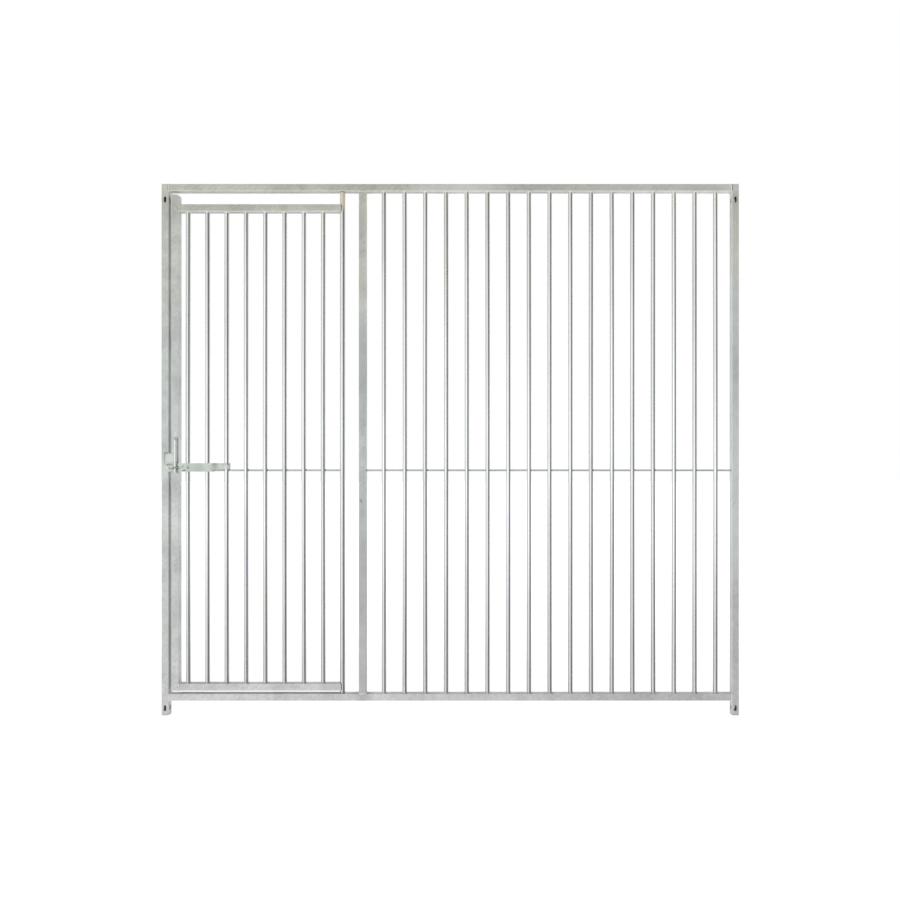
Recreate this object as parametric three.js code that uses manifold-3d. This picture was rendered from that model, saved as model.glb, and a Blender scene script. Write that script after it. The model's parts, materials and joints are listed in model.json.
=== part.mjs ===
// A galvanised bar panel with a swinging door, the kind that is bolted side to side into a run.
// Square tube makes the outer frame, the mullion and the door, and round bars stand through
// punched rails, threaded by a thin tie rod. The door turns on a round pivot tube between two
// pins, and a hasp that wraps round one of its bars reaches across to the left post.
//
// Millimetres, +Z up. The latch side faces -Y, and +X is to the right of someone facing it.
// The origin is the bottom centre of the bounding box.

import * as THREE from 'three';
import { mergeVertices } from 'three/addons/utils/BufferGeometryUtils.js';
import Module from 'manifold-3d';

const wasm = await Module();
wasm.setup();

// ---------------------------------------------------------------- driving dimensions

// Outer frame
const PANEL_WIDTH = 2000;
const PANEL_HEIGHT = 1840;
const TUBE = 25; // side of the square tube
const TUBE_WALL = 2;
const TUBE_CORNER = 2; // outside corner radius of the square tube
const LEG_HEIGHT = 50; // the posts run on below the bottom rail
const DOORWAY_WIDTH = 658; // clear, from the left post to the mullion

// Bolt slots at both ends of each post, in all four walls
const SLOT_WIDTH = 9;
const SLOT_LENGTH = 20;
const SLOT_FROM_FLOOR = 25; // to the slot's centre
const SLOT_FROM_TOP = 54;

// Round bars
const BAR = 16; // diameter
const BAR_WALL = 1.5;
const FIXED_BARS = 17; // evenly spaced in the fixed bay
const FIRST_BAR_OFFSET = 61; // mullion face to the first bar's axis
const LAST_BAR_OFFSET = 54; // last bar's axis to the right post's face
const DOOR_BARS = 8; // evenly spaced, with the pivot axis as the next place in their row
const DOOR_BAR_OFFSET = 28.6; // lock stile's face to the first door bar's axis
const BAR_SEAT = 12; // how far a bar's end stands inside its rail

// Tie rods, through every bar
const TIE_ROD = 6; // diameter
const TIE_ROD_HEIGHT = 848;
const TIE_ROD_SEAT = 7; // how far its ends stand inside what they enter

// Door
const DOOR_SIDE_GAP = 10; // left post to lock stile
const DOOR_BOTTOM_GAP = 10; // bottom rail to door
const DOOR_TOP_GAP = 10; // top rail to the lock stile's end
const STILE_HORN = 35; // the lock stile runs on above the door's top rail
const PIVOT_SETBACK = 58; // mullion face to the pivot axis
const PIVOT_TUBE = 18; // diameter
const PIVOT_TUBE_WALL = 2;
const COPE_SETBACK = 3; // the door rails' ends stop this short of the pivot axis
const PIN_REACH = 30; // the pivot pins stand this far into the pivot tube
const PIN_COLLAR = 1.5; // thickness of the collar that the door stands on

// Hasp
const STRAP_THICKNESS = 3;
const STRAP_HEIGHT = 29;
const STRAP_DROP = 7.3; // the strap hangs this far below the rolled eye's lower edge
const STRAP_TIP_RADIUS = 9;
const STRAP_LINE = 13; // the slot's and hole's centres above the strap's lower edge
const STRAP_SLOT_LENGTH = 24;
const STRAP_SLOT_HEIGHT = 10;
const PADLOCK_HOLE = 8; // diameter
const PADLOCK_HOLE_OFFSET = 43; // from the slot's centre towards the eye
const JOGGLE_LENGTH = 24; // the stretch where the strap steps back to the bars
const JOGGLE_TO_EYE = 26; // from the joggle's near end to the eye's axis
const NECK_LENGTH = 14; // sloping stretch of the strap's lower edge
const EYE_WRAP = 300; // degrees of the bar that the rolled eye covers
const HASP_BAR = 3; // the eye's bar, counted from the lock stile

// Keeper plate, on the post's face
const KEEPER_HEIGHT = 61;
const KEEPER_THICKNESS = 3;
const KEEPER_CORNER = 5;
const KEEPER_ON_POST = 12; // overlap of the plate on the post
const KEEPER_ON_STILE = 13; // overlap of the plate on the lock stile
const KEEPER_RAISE = 3; // the plate's lower edge above the strap's

// Hanging rod that keeps the hasp shut, and the notched lug that it hangs in
const HOOK_ROD = 8; // diameter
const HOOK_ARM = 100.5; // slot's centre line up to the rod's pivot
const HOOK_TAIL = 18; // slot's centre line down to the rod's end
const HOOK_BEND = 7; // bend radius at the rod's middle
const HOOK_HEAD = 12; // diameter of the head closed behind the stile
const HOOK_HEAD_THICKNESS = 3;
const LUG_THICKNESS = 4;
const LUG_SPINE = 3; // metal beside the notch
const LUG_FINGER = 4; // metal in front of the notch
const LUG_CORNER = 2;

// Clearances
const WELD_GAP = 0.3; // between faces that are welded or rest on each other
const HOLE_CLEARANCE = 0.3; // round a bar or rod in its hole, on the radius
const PIVOT_CLEARANCE = 0.5; // round a pin, rod or bar that something turns on, on the radius
const SLIDE_CLEARANCE = 0.5; // between plates that lie over each other
const PASS_CLEARANCE = 1; // keeper plate's edge to what swings past it with the door

// Facets
const BAR_SIDES = 12;
const ROD_SIDES = 8;
const CORNER_STEPS = 3;
const ROUND_STEPS = 6; // on a half circle
const JOGGLE_STEPS = 8;
const EYE_STEPS = 20;
const HOOK_STEPS = 36; // along the whole hanging rod

// ---------------------------------------------------------------- places worked out from them

const halfTube = TUBE / 2;
const boreCorner = Math.max(TUBE_CORNER - TUBE_WALL, TUBE_WALL / 4);
const through = 4 * TUBE; // as long as a cutting tool has to be to pass through anything here
const postX = PANEL_WIDTH / 2 - halfTube;
const postInner = PANEL_WIDTH / 2 - TUBE;
const bottomRailZ = LEG_HEIGHT + halfTube;
const topRailZ = PANEL_HEIGHT - halfTube;
const bayBottom = LEG_HEIGHT + TUBE;
const bayTop = PANEL_HEIGHT - TUBE;
const mullionX = -postInner + DOORWAY_WIDTH + halfTube;
const slotHeights = [SLOT_FROM_FLOOR, PANEL_HEIGHT - SLOT_FROM_TOP];

const pivotX = mullionX - halfTube - PIVOT_SETBACK;
const stileX = -postInner + DOOR_SIDE_GAP + halfTube;
const stileBottom = bayBottom + DOOR_BOTTOM_GAP;
const stileTop = bayTop - DOOR_TOP_GAP;
const doorBottomRailZ = stileBottom + halfTube;
const doorTopRailZ = stileTop - STILE_HORN - halfTube;
const pivotRadius = PIVOT_TUBE / 2;
const pinRadius = pivotRadius - PIVOT_TUBE_WALL - PIVOT_CLEARANCE;

const firstBarX = mullionX + halfTube + FIRST_BAR_OFFSET;
const lastBarX = postInner - LAST_BAR_OFFSET;
const fixedBarXs = barLine(firstBarX, (lastBarX - firstBarX) / (FIXED_BARS - 1), FIXED_BARS);
const firstDoorBarX = stileX + halfTube + DOOR_BAR_OFFSET;
const doorBarXs = barLine(firstDoorBarX, (pivotX - firstDoorBarX) / DOOR_BARS, DOOR_BARS);

// The latch is stacked forward from the frame's mid-plane: plate, strap, rod, finger.
const keeperBack = halfTube + WELD_GAP;
const strapBack = keeperBack + KEEPER_THICKNESS + SLIDE_CLEARANCE;
const strapFront = strapBack + STRAP_THICKNESS;
const hookRadius = HOOK_ROD / 2;
const hookForward = strapFront + SLIDE_CLEARANCE + hookRadius;
const lugForward = hookForward + hookRadius + SLIDE_CLEARANCE + LUG_FINGER;
const headBack = halfTube + WELD_GAP + HOOK_HEAD_THICKNESS;
const midPlaneY = (lugForward - headBack) / 2;

const eyeX = doorBarXs[HASP_BAR - 1];
const eyeBottom = TIE_ROD_HEIGHT + TIE_ROD / 2 + WELD_GAP;
const strapBottom = eyeBottom - STRAP_DROP;
const strapTop = strapBottom + STRAP_HEIGHT;
const strapLineZ = strapBottom + STRAP_LINE;
const keeperLeft = -postInner - KEEPER_ON_POST;
const keeperRight = -postInner + DOOR_SIDE_GAP + KEEPER_ON_STILE;
const hookX = keeperRight + PASS_CLEARANCE + hookRadius;
const hookPivotZ = strapLineZ + HOOK_ARM;
const lugLeft = keeperRight + PASS_CLEARANCE;
const lugRight = hookX + hookRadius + SLIDE_CLEARANCE + LUG_SPINE;

// ---------------------------------------------------------------- outlines

// Bar axes from a first one onwards.
function barLine(first, pitch, count) {
  return Array.from({ length: count }, (_, i) => first + i * pitch);
}

function arc(x, y, radius, fromDegrees, toDegrees, steps) {
  const points = [];
  for (let i = 0; i <= steps; i++) {
    const angle = THREE.MathUtils.degToRad(fromDegrees + (toDegrees - fromDegrees) * i / steps);
    points.push(new THREE.Vector2(x + radius * Math.cos(angle), y + radius * Math.sin(angle)));
  }
  return points;
}

function circle(radius, sides) {
  return arc(0, 0, radius, 0, 360 - 360 / sides, sides - 1);
}

function roundedRectangle(left, right, low, high, radius) {
  return [
    ...arc(right - radius, high - radius, radius, 0, 90, CORNER_STEPS),
    ...arc(left + radius, high - radius, radius, 90, 180, CORNER_STEPS),
    ...arc(left + radius, low + radius, radius, 180, 270, CORNER_STEPS),
    ...arc(right - radius, low + radius, radius, 270, 360, CORNER_STEPS),
  ];
}

function square(side, radius) {
  return roundedRectangle(-side / 2, side / 2, -side / 2, side / 2, radius);
}

// A slot with round ends, its length along the outline's x.
function slot(length, width) {
  const reach = (length - width) / 2;
  return [
    ...arc(reach, 0, width / 2, -90, 90, ROUND_STEPS),
    ...arc(-reach, 0, width / 2, 90, 270, ROUND_STEPS),
  ];
}

// ---------------------------------------------------------------- solids

// A prism on an outline in XY, from z = 0 up to its length.
function prism(outline, length, hole) {
  const shape = new THREE.Shape(outline);
  if (hole) shape.holes.push(new THREE.Path(hole));
  return new THREE.ExtrudeGeometry(shape, { depth: length, bevelEnabled: false });
}

// The same prism lying along X, from x = 0 to its length. The outline's x points down.
function prismX(outline, length, hole) {
  return prism(outline, length, hole).rotateY(Math.PI / 2);
}

// The same prism lying along Y, centred on y = 0. The outline's y points up.
function prismY(outline, length, hole) {
  return prism(outline, length, hole).rotateX(Math.PI / 2).translate(0, length / 2, 0);
}

function toSolid(geometry) {
  const bare = geometry.clone();
  bare.deleteAttribute('normal');
  bare.deleteAttribute('uv');
  const merged = mergeVertices(bare);
  const vertProperties = new Float32Array(merged.attributes.position.array);
  const triVerts = new Uint32Array(merged.index.array);
  return new wasm.Manifold(new wasm.Mesh({ numProp: 3, vertProperties, triVerts }));
}

function toGeometry(solid) {
  const { vertProperties, triVerts } = solid.getMesh();
  const indexed = new THREE.BufferGeometry();
  indexed.setAttribute('position', new THREE.BufferAttribute(vertProperties, 3));
  indexed.setIndex(new THREE.BufferAttribute(triVerts, 1));
  const geometry = indexed.toNonIndexed();
  geometry.computeVertexNormals();
  return geometry;
}

// The geometry with every tool cut away.
function cut(geometry, tools) {
  const left = tools.reduce((solid, tool) => solid.subtract(toSolid(tool)), toSolid(geometry));
  return toGeometry(left);
}

// Square tube along Z from z = 0, and the same along X from x = 0.
const tubeOutline = square(TUBE, TUBE_CORNER);
const tubeBore = square(TUBE - 2 * TUBE_WALL, boreCorner);
const uprightTube = (length) => prism(tubeOutline, length, tubeBore);
const lyingTube = (length) => prismX(tubeOutline, length, tubeBore);

// Tools that open one wall or both walls of a tube. A tool's half length clears the wall
// on both sides and stops inside the tube.
const barHole = BAR / 2 + HOLE_CLEARANCE;
const tieRodHole = TIE_ROD / 2 + HOLE_CLEARANCE;

function standingTool(radius, sides, x, low, high) {
  return prism(circle(radius, sides), high - low).translate(x, 0, low);
}

// Punched holes in a lying tube whose axis is at z = 0, in its upper or lower wall.
function punchings(xs, radius, sides, up) {
  const low = up ? 0 : -TUBE;
  return xs.map((x) => standingTool(radius, sides, x, low, low + TUBE));
}

// A hole for a tie rod through the side walls between two places on x.
function tieRodTool(from, to, z) {
  return prismX(circle(tieRodHole, ROD_SIDES), to - from).translate(from, 0, z);
}

// ---------------------------------------------------------------- materials

const galvanised = new THREE.MeshStandardMaterial({
  color: 0xbfc4bf, roughness: 0.5, metalness: 0.75,
});
const galvanisedBar = new THREE.MeshStandardMaterial({
  color: 0xc9cecb, roughness: 0.38, metalness: 0.8,
});
const galvanisedFitting = new THREE.MeshStandardMaterial({
  color: 0xc3c7bc, roughness: 0.55, metalness: 0.7,
});

function part(name, geometry, material, x = 0, y = 0, z = 0) {
  const mesh = new THREE.Mesh(geometry, material);
  mesh.name = name;
  mesh.position.set(x, y, z);
  return mesh;
}

// ---------------------------------------------------------------- outer frame

// Slots in the front and back walls and in both side walls, at one height.
function boltSlots(z) {
  const standing = slot(SLOT_LENGTH, SLOT_WIDTH);
  const sideways = prismX(standing, 2 * TUBE).translate(-TUBE, 0, z);
  const through = sideways.clone().rotateZ(Math.PI / 2);
  return [sideways, through];
}

function leftPost() {
  const geometry = cut(uprightTube(PANEL_HEIGHT), slotHeights.flatMap(boltSlots));
  return part('left_post', geometry, galvanised, -postX);
}

function rightPost() {
  const tieRodEntry = tieRodTool(-TUBE, 0, TIE_ROD_HEIGHT);
  const tools = [...slotHeights.flatMap(boltSlots), tieRodEntry];
  return part('right_post', cut(uprightTube(PANEL_HEIGHT), tools), galvanised, postX);
}

// A rail between the posts, punched for the fixed bars in the wall that faces them,
// and drilled right through for the pivot pin.
function frameRail(name, z, up) {
  const length = 2 * (postInner - WELD_GAP);
  const pinHole = standingTool(pinRadius + HOLE_CLEARANCE, BAR_SIDES, pivotX, -TUBE, TUBE);
  const rail = lyingTube(length).translate(-length / 2, 0, 0);
  const tools = [...punchings(fixedBarXs, barHole, BAR_SIDES, up), pinHole];
  return part(name, cut(rail, tools), galvanised, 0, 0, z);
}

function mullion() {
  const length = bayTop - bayBottom - 2 * WELD_GAP;
  const low = bayBottom + WELD_GAP;
  const tieRodEntry = tieRodTool(0, TUBE, TIE_ROD_HEIGHT - low);
  return part('mullion', cut(uprightTube(length), [tieRodEntry]), galvanised, mullionX, 0, low);
}

// A round bar, bored across where the tie rod passes.
function bar(low, high) {
  const tube = prism(circle(BAR / 2, BAR_SIDES), high - low, circle(BAR / 2 - BAR_WALL, BAR_SIDES));
  return cut(tube, [tieRodTool(-BAR, BAR, TIE_ROD_HEIGHT - low)]);
}

function fixedBars() {
  const low = bayBottom - BAR_SEAT;
  const geometry = bar(low, bayTop + BAR_SEAT);
  return fixedBarXs.map((x, i) => {
    const name = `fixed_bar_${String(i + 1).padStart(2, '0')}`;
    return part(name, geometry, galvanisedBar, x, 0, low);
  });
}

function tieRod(name, from, to) {
  const geometry = prismX(circle(TIE_ROD / 2, ROD_SIDES), to - from);
  return part(name, geometry, galvanisedBar, from, 0, TIE_ROD_HEIGHT);
}

function fixedTieRod() {
  return tieRod('fixed_tie_rod', mullionX + halfTube - TIE_ROD_SEAT, postInner + TIE_ROD_SEAT);
}

// Turned pins. The lower one has a collar, which carries the door.
function pivotPins() {
  const collarLow = bayBottom + WELD_GAP;
  const lower = [
    [0, LEG_HEIGHT], [pinRadius, LEG_HEIGHT],
    [pinRadius, collarLow], [pivotRadius, collarLow],
    [pivotRadius, collarLow + PIN_COLLAR], [pinRadius, collarLow + PIN_COLLAR],
    [pinRadius, bayBottom + PIN_REACH], [0, bayBottom + PIN_REACH],
  ];
  const upper = [
    [0, bayTop - PIN_REACH], [pinRadius, bayTop - PIN_REACH],
    [pinRadius, PANEL_HEIGHT], [0, PANEL_HEIGHT],
  ];
  const turned = (profile) => {
    const points = profile.map(([radius, z]) => new THREE.Vector2(radius, z));
    return new THREE.LatheGeometry(points, BAR_SIDES).rotateX(Math.PI / 2);
  };
  return [
    part('pivot_pin_bottom', turned(lower), galvanisedFitting, pivotX),
    part('pivot_pin_top', turned(upper), galvanisedFitting, pivotX),
  ];
}

// ---------------------------------------------------------------- door
// Everything below is placed from the pivot axis, so that the door's group turns about it.

const fromPivot = (x) => x - pivotX;

function lockStile() {
  const tieRodEntry = tieRodTool(0, TUBE, TIE_ROD_HEIGHT - stileBottom);
  const hookHole = prismY(circle(hookRadius + PIVOT_CLEARANCE, BAR_SIDES), 2 * TUBE)
    .translate(hookX - stileX, 0, hookPivotZ - stileBottom);
  const geometry = cut(uprightTube(stileTop - stileBottom), [tieRodEntry, hookHole]);
  return part('door_lock_stile', geometry, galvanised, fromPivot(stileX), 0, stileBottom);
}

// A door rail, punched for the door's bars and coped round the pivot tube.
function doorRail(name, z, up) {
  const left = fromPivot(stileX + halfTube + WELD_GAP);
  const rail = lyingTube(-COPE_SETBACK - left).translate(left, 0, 0);
  const cope = standingTool(pivotRadius + WELD_GAP, BAR_SIDES, 0, -TUBE, TUBE);
  const tools = [...punchings(doorBarXs.map(fromPivot), barHole, BAR_SIDES, up), cope];
  return part(name, cut(rail, tools), galvanised, 0, 0, z);
}

function pivotTube() {
  const low = bayBottom + 2 * WELD_GAP + PIN_COLLAR;
  const high = bayTop - WELD_GAP - PIN_COLLAR;
  const bore = circle(pivotRadius - PIVOT_TUBE_WALL, BAR_SIDES);
  const tube = prism(circle(pivotRadius, BAR_SIDES), high - low, bore);
  const geometry = cut(tube, [tieRodTool(-PIVOT_TUBE, 0, TIE_ROD_HEIGHT - low)]);
  return part('door_pivot_tube', geometry, galvanisedBar, 0, 0, low);
}

function doorBars() {
  const low = doorBottomRailZ + halfTube - BAR_SEAT;
  const geometry = bar(low, doorTopRailZ - halfTube + BAR_SEAT);
  return doorBarXs.map((x, i) => {
    return part(`door_bar_${i + 1}`, geometry, galvanisedBar, fromPivot(x), 0, low);
  });
}

function doorTieRod() {
  const from = fromPivot(stileX + halfTube - TIE_ROD_SEAT);
  return tieRod('door_tie_rod', from, -pivotRadius + PIVOT_TUBE_WALL);
}

// ---------------------------------------------------------------- latch

// A rounded plate on the post's face that reaches across the gap and stops the door.
function keeperPlate() {
  const low = strapBottom + KEEPER_RAISE;
  const outline = roundedRectangle(keeperLeft, keeperRight, low, low + KEEPER_HEIGHT, KEEPER_CORNER);
  const y = -keeperBack - KEEPER_THICKNESS / 2;
  return part('keeper_plate', prismY(outline, KEEPER_THICKNESS), galvanisedFitting, 0, y);
}

// A flat lug on the stile that comes through the strap's slot. Its notch opens to the left,
// and the hanging rod swings into it sideways.
function keeperLug() {
  const notch = hookRadius + SLIDE_CLEARANCE;
  const left = fromPivot(lugLeft);
  const right = fromPivot(lugRight);
  const middle = fromPivot(hookX);
  const root = -halfTube - WELD_GAP;
  const corner = (x, y, from) => arc(x, y, LUG_CORNER, from, from + 90, CORNER_STEPS);
  const outline = [
    new THREE.Vector2(left, root),
    new THREE.Vector2(left, -hookForward + notch),
    ...arc(middle, -hookForward, notch, 90, -90, ROUND_STEPS),
    new THREE.Vector2(left, -hookForward - notch),
    ...corner(left + LUG_CORNER, -lugForward + LUG_CORNER, 180),
    ...corner(right - LUG_CORNER, -lugForward + LUG_CORNER, 270),
    new THREE.Vector2(right, root),
  ];
  const z = strapLineZ - LUG_THICKNESS / 2;
  return part('keeper_lug', prism(outline, LUG_THICKNESS), galvanisedFitting, 0, 0, z);
}

// The strap's bent centre line, seen from above, from its tip to the end of the rolled eye.
// x and y are from the eye's axis.
function strapCentreLine(tipX) {
  const eyeRadius = BAR / 2 + PIVOT_CLEARANCE + STRAP_THICKNESS / 2;
  const outerY = -strapBack - STRAP_THICKNESS / 2;
  const joggleStart = -JOGGLE_TO_EYE - JOGGLE_LENGTH;
  const points = [new THREE.Vector2(tipX, outerY)];
  for (let i = 0; i <= JOGGLE_STEPS; i++) {
    const share = (1 - Math.cos(Math.PI * i / JOGGLE_STEPS)) / 2;
    const x = joggleStart + JOGGLE_LENGTH * i / JOGGLE_STEPS;
    points.push(new THREE.Vector2(x, THREE.MathUtils.lerp(outerY, -eyeRadius, share)));
  }
  points.push(...arc(0, 0, eyeRadius, -90, EYE_WRAP - 90, EYE_STEPS));
  return points;
}

// A strip of even thickness along a line of points, as one closed outline.
function strip(points, thickness) {
  const side = (offset) => points.map((point, i) => {
    const before = points[Math.max(i - 1, 0)];
    const after = points[Math.min(i + 1, points.length - 1)];
    const along = after.clone().sub(before).normalize();
    return new THREE.Vector2(point.x - along.y * offset, point.y + along.x * offset);
  });
  return [...side(-thickness / 2), ...side(thickness / 2).reverse()];
}

// The strap's outline from the front: a round tip, and a lower edge that rises to the eye.
function strapOutline(tipX, endX) {
  const low = strapBottom - eyeBottom;
  const high = strapTop - eyeBottom;
  const neckEnd = -JOGGLE_TO_EYE;
  return [
    ...arc(tipX + STRAP_TIP_RADIUS, high - STRAP_TIP_RADIUS, STRAP_TIP_RADIUS, 90, 180, ROUND_STEPS),
    ...arc(tipX + STRAP_TIP_RADIUS, low + STRAP_TIP_RADIUS, STRAP_TIP_RADIUS, 180, 270, ROUND_STEPS),
    new THREE.Vector2(neckEnd - NECK_LENGTH, low),
    new THREE.Vector2(neckEnd, 0),
    new THREE.Vector2(endX, 0),
    new THREE.Vector2(endX, high),
  ];
}

// Flat bar, bent to the centre line, trimmed to the outline and pierced.
function haspStrap() {
  const tipX = keeperLeft - eyeX;
  const lineZ = strapLineZ - eyeBottom;
  const slotX = hookX - eyeX;
  const bent = prism(strip(strapCentreLine(tipX), STRAP_THICKNESS), strapTop - strapBottom)
    .translate(0, 0, strapBottom - eyeBottom);
  const trimmed = toSolid(bent).intersect(toSolid(prismY(strapOutline(tipX, BAR), through)));
  const slotTool = prismY(slot(STRAP_SLOT_LENGTH, STRAP_SLOT_HEIGHT), through)
    .translate(slotX, 0, lineZ);
  const holeTool = prismY(circle(PADLOCK_HOLE / 2, BAR_SIDES), through)
    .translate(slotX + PADLOCK_HOLE_OFFSET, 0, lineZ);
  const geometry = cut(toGeometry(trimmed), [slotTool, holeTool]);
  return part('hasp_strap', geometry, galvanisedFitting);
}

// A round rod that turns in the stile, comes forward, bends down and hangs in the lug's notch.
function hookRod() {
  const bendY = -hookForward + HOOK_BEND;
  const path = new THREE.CurvePath();
  const at = (y, z) => new THREE.Vector3(0, y, z);
  path.add(new THREE.LineCurve3(at(headBack, 0), at(bendY, 0)));
  path.add(new THREE.QuadraticBezierCurve3(at(bendY, 0), at(-hookForward, 0), at(-hookForward, -HOOK_BEND)));
  path.add(new THREE.LineCurve3(at(-hookForward, -HOOK_BEND), at(-hookForward, -HOOK_ARM - HOOK_TAIL)));
  const section = new THREE.Shape(circle(hookRadius, BAR_SIDES));
  const rod = new THREE.ExtrudeGeometry(section, { steps: HOOK_STEPS, extrudePath: path });
  const headY = halfTube + WELD_GAP + HOOK_HEAD_THICKNESS / 2;
  const head = prismY(circle(HOOK_HEAD / 2, BAR_SIDES), HOOK_HEAD_THICKNESS).translate(0, headY, 0);
  return part('hook_rod', toGeometry(toSolid(rod).add(toSolid(head))), galvanisedFitting);
}

// ---------------------------------------------------------------- assembly

function group(x, y, z, ...children) {
  const made = new THREE.Group();
  made.position.set(x, y, z);
  made.add(...children);
  return made;
}

const frame = group(
  0, 0, 0,
  leftPost(), rightPost(), mullion(),
  frameRail('bottom_rail', bottomRailZ, true),
  frameRail('top_rail', topRailZ, false),
  ...fixedBars(), fixedTieRod(), ...pivotPins(), keeperPlate(),
);

const hasp = group(fromPivot(eyeX), 0, eyeBottom, haspStrap());
const hook = group(fromPivot(hookX), 0, hookPivotZ, hookRod());

const door = group(
  pivotX, 0, 0,
  lockStile(),
  doorRail('door_bottom_rail', doorBottomRailZ, true),
  doorRail('door_top_rail', doorTopRailZ, false),
  pivotTube(), ...doorBars(), doorTieRod(), keeperLug(), hasp, hook,
);

export default group(0, midPlaneY, 0, frame, door);
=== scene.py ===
# A galvanised bar panel with a swinging door, dressed for its portrait: zinc-coated square tube,
# round bars tied by a thin rod, weld beads at every joint, and a wrap-round hasp with its rod.
# Metres, +Z up. The latch side faces -Y.

import json
import math
import random

import bmesh
import bpy
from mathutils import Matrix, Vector


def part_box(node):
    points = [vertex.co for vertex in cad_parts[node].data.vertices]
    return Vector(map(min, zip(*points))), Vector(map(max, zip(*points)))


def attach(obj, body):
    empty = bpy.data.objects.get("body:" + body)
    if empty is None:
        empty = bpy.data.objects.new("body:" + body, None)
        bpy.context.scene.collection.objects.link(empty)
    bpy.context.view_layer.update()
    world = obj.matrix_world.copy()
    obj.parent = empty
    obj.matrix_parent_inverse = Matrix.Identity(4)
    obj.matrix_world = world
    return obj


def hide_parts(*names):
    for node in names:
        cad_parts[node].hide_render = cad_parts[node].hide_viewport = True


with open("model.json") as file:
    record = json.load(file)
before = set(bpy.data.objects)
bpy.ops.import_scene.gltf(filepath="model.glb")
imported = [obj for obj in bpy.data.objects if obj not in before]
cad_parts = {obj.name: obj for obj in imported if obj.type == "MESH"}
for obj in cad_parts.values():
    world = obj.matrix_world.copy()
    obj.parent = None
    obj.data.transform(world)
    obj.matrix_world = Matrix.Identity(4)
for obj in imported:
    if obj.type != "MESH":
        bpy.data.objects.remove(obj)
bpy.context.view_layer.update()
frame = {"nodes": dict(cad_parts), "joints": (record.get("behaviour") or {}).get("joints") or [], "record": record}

# ---------------- sizes

# The photograph's view: square on to the panel, a little right of its middle
VIEW_DISTANCE = 2.5  # camera to the tubes' front faces
VIEW_X = 0.16
VIEW_Z = 0.86
PICTURE_X = -0.0007  # middle of the picture on the front faces
PICTURE_Z = 0.9187
VIEW_WIDTH = 3.1154  # what the picture spans on the front faces
SENSOR = 36.0  # mm

# Studio
FLOOR_REACH = 40.0
FLOOR_GREY = (0.80, 0.80, 0.80)
NEAR_GLOW = (0.74, 0.74, 0.76)  # the floor's own light at the panel's foot
FAR_GLOW = (0.92, 0.92, 0.95)
GLOW_STRETCH = (0.45, 1.0, 1.0)  # the dim patch is longer along the panel
GLOW_NEAR, GLOW_FAR = 0.4, 1.6
CEILING = (0.13, 0.125, 0.12)
GROUND = (0.84, 0.84, 0.95)
CEILING_FROM = (14, 34)  # degrees up where the ceiling begins, at the front and at the back
CEILING_BLEND = 28
GROUND_FROM, GROUND_FULL = -20, -55
LEVEL, OFF_LEVEL = 0.03, 0.27  # radians up or down where the walls' tone starts and ends its change
UP_TONES = (1.10, 0.90)
DOWN_TONES = (1.0, 0.57)
ROOM = [  # tones by degrees round the panel, from its front, the right positive
    (-180, (0.98, 0.98, 1.05)),
    (-142, (0.96, 0.96, 1.03)),
    (-118, (0.46, 0.47, 0.48)),
    (-80, (0.42, 0.43, 0.43)),
    (-62, (1.08, 1.11, 1.08)),
    (-28, (1.16, 1.19, 1.16)),
    (-8, (0.96, 0.98, 0.95)),
    (9, (0.86, 0.88, 0.85)),
    (19, (0.55, 0.57, 0.54)),
    (30, (0.18, 0.18, 0.18)),
    (46, (0.145, 0.145, 0.145)),
    (90, (0.17, 0.17, 0.17)),
    (114, (0.74, 0.74, 0.78)),
    (140, (0.96, 0.96, 1.03)),
    (180, (0.98, 0.98, 1.05)),
]

# Square tube
TUBE_WALL = 0.002
TUBE_CORNER = 0.002
BORE_CORNER = 0.0005
CORNER_STEPS = 6  # of a corner's arc
ARC_STEPS = 14  # of a longer one
HORN_SLOPE = 0.0023  # how much lower the stile's top is at its right
HORN_CORNER = 0.004
RIM_ROUND = 0.0004  # rounding that the zinc leaves on sawn and punched edges
SMALL_RIM = 0.0002  # and on a tie rod's ends
SHARP_FROM = 38  # degrees between two faces, from which their edge is rounded
CREASE_FROM = 60  # and from which it is shaded as a crease
SLOT_WIDTH = 0.009
SLOT_LENGTH = 0.020

# Round stock
PIVOT_WALL = 0.002
HOLE_CLEARANCE = 0.0003
ROUND_SIDES = 40
BAR_SIDES = 32
RING_SPACING = 0.02  # along a bar
BAR_WOBBLE = 0.0002  # how far the zinc's thickness wanders
BAR_BOW = 0.0012  # how far a bar may be out of straight at half its height
LEAN_LOW, LEAN_HIGH = (-1.0, -0.4, 0.0), (1.0, 0.4, 0.0)  # which way, as shares of the bow
SWELL_SCALE = 18.0
TIE_ROD_SIDES = 24

# Hasp strap
STRAP_THICKNESS = 0.003
STRAP_TIP_RADIUS = 0.009
STRAP_LINE = 0.013  # slot and hole centres above the strap's lower edge
STRAP_SLOT = (0.024, 0.010)
PADLOCK_HOLE = 0.008
PADLOCK_HOLE_OFFSET = 0.043
JOGGLE_LENGTH = 0.024
JOGGLE_TO_EYE = 0.026
NECK_LENGTH = 0.014
NECK_RISE = 0.0073
EYE_WRAP = 300  # degrees
EYE_STEPS = 60
JOGGLE_STEPS = 16
TIP_STEPS = 10
PADLOCK_HOLE_SIDES = 32
FITTING_ROUND = 0.0012

# Keeper, lug and hanging rod
KEEPER_CORNER = 0.005
LUG_CORNER = 0.002
ROD_RADIUS = 0.004
ROD_CLEARANCE = 0.0005
HOOK_BEND = 0.007
HOOK_HEAD = 0.012
HOOK_HEAD_THICKNESS = 0.003
HOOK_ROUND = 0.0016
HOOK_LEAD = 0.001  # straight run before the bend
HOOK_STEPS = 12
HOOK_SHARP_FROM = 50
LUG_RIM = 0.0005
LUG_STEPS = 5
FITTING_SEGMENTS = 3  # of the rounding on forged and bent pieces

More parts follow.
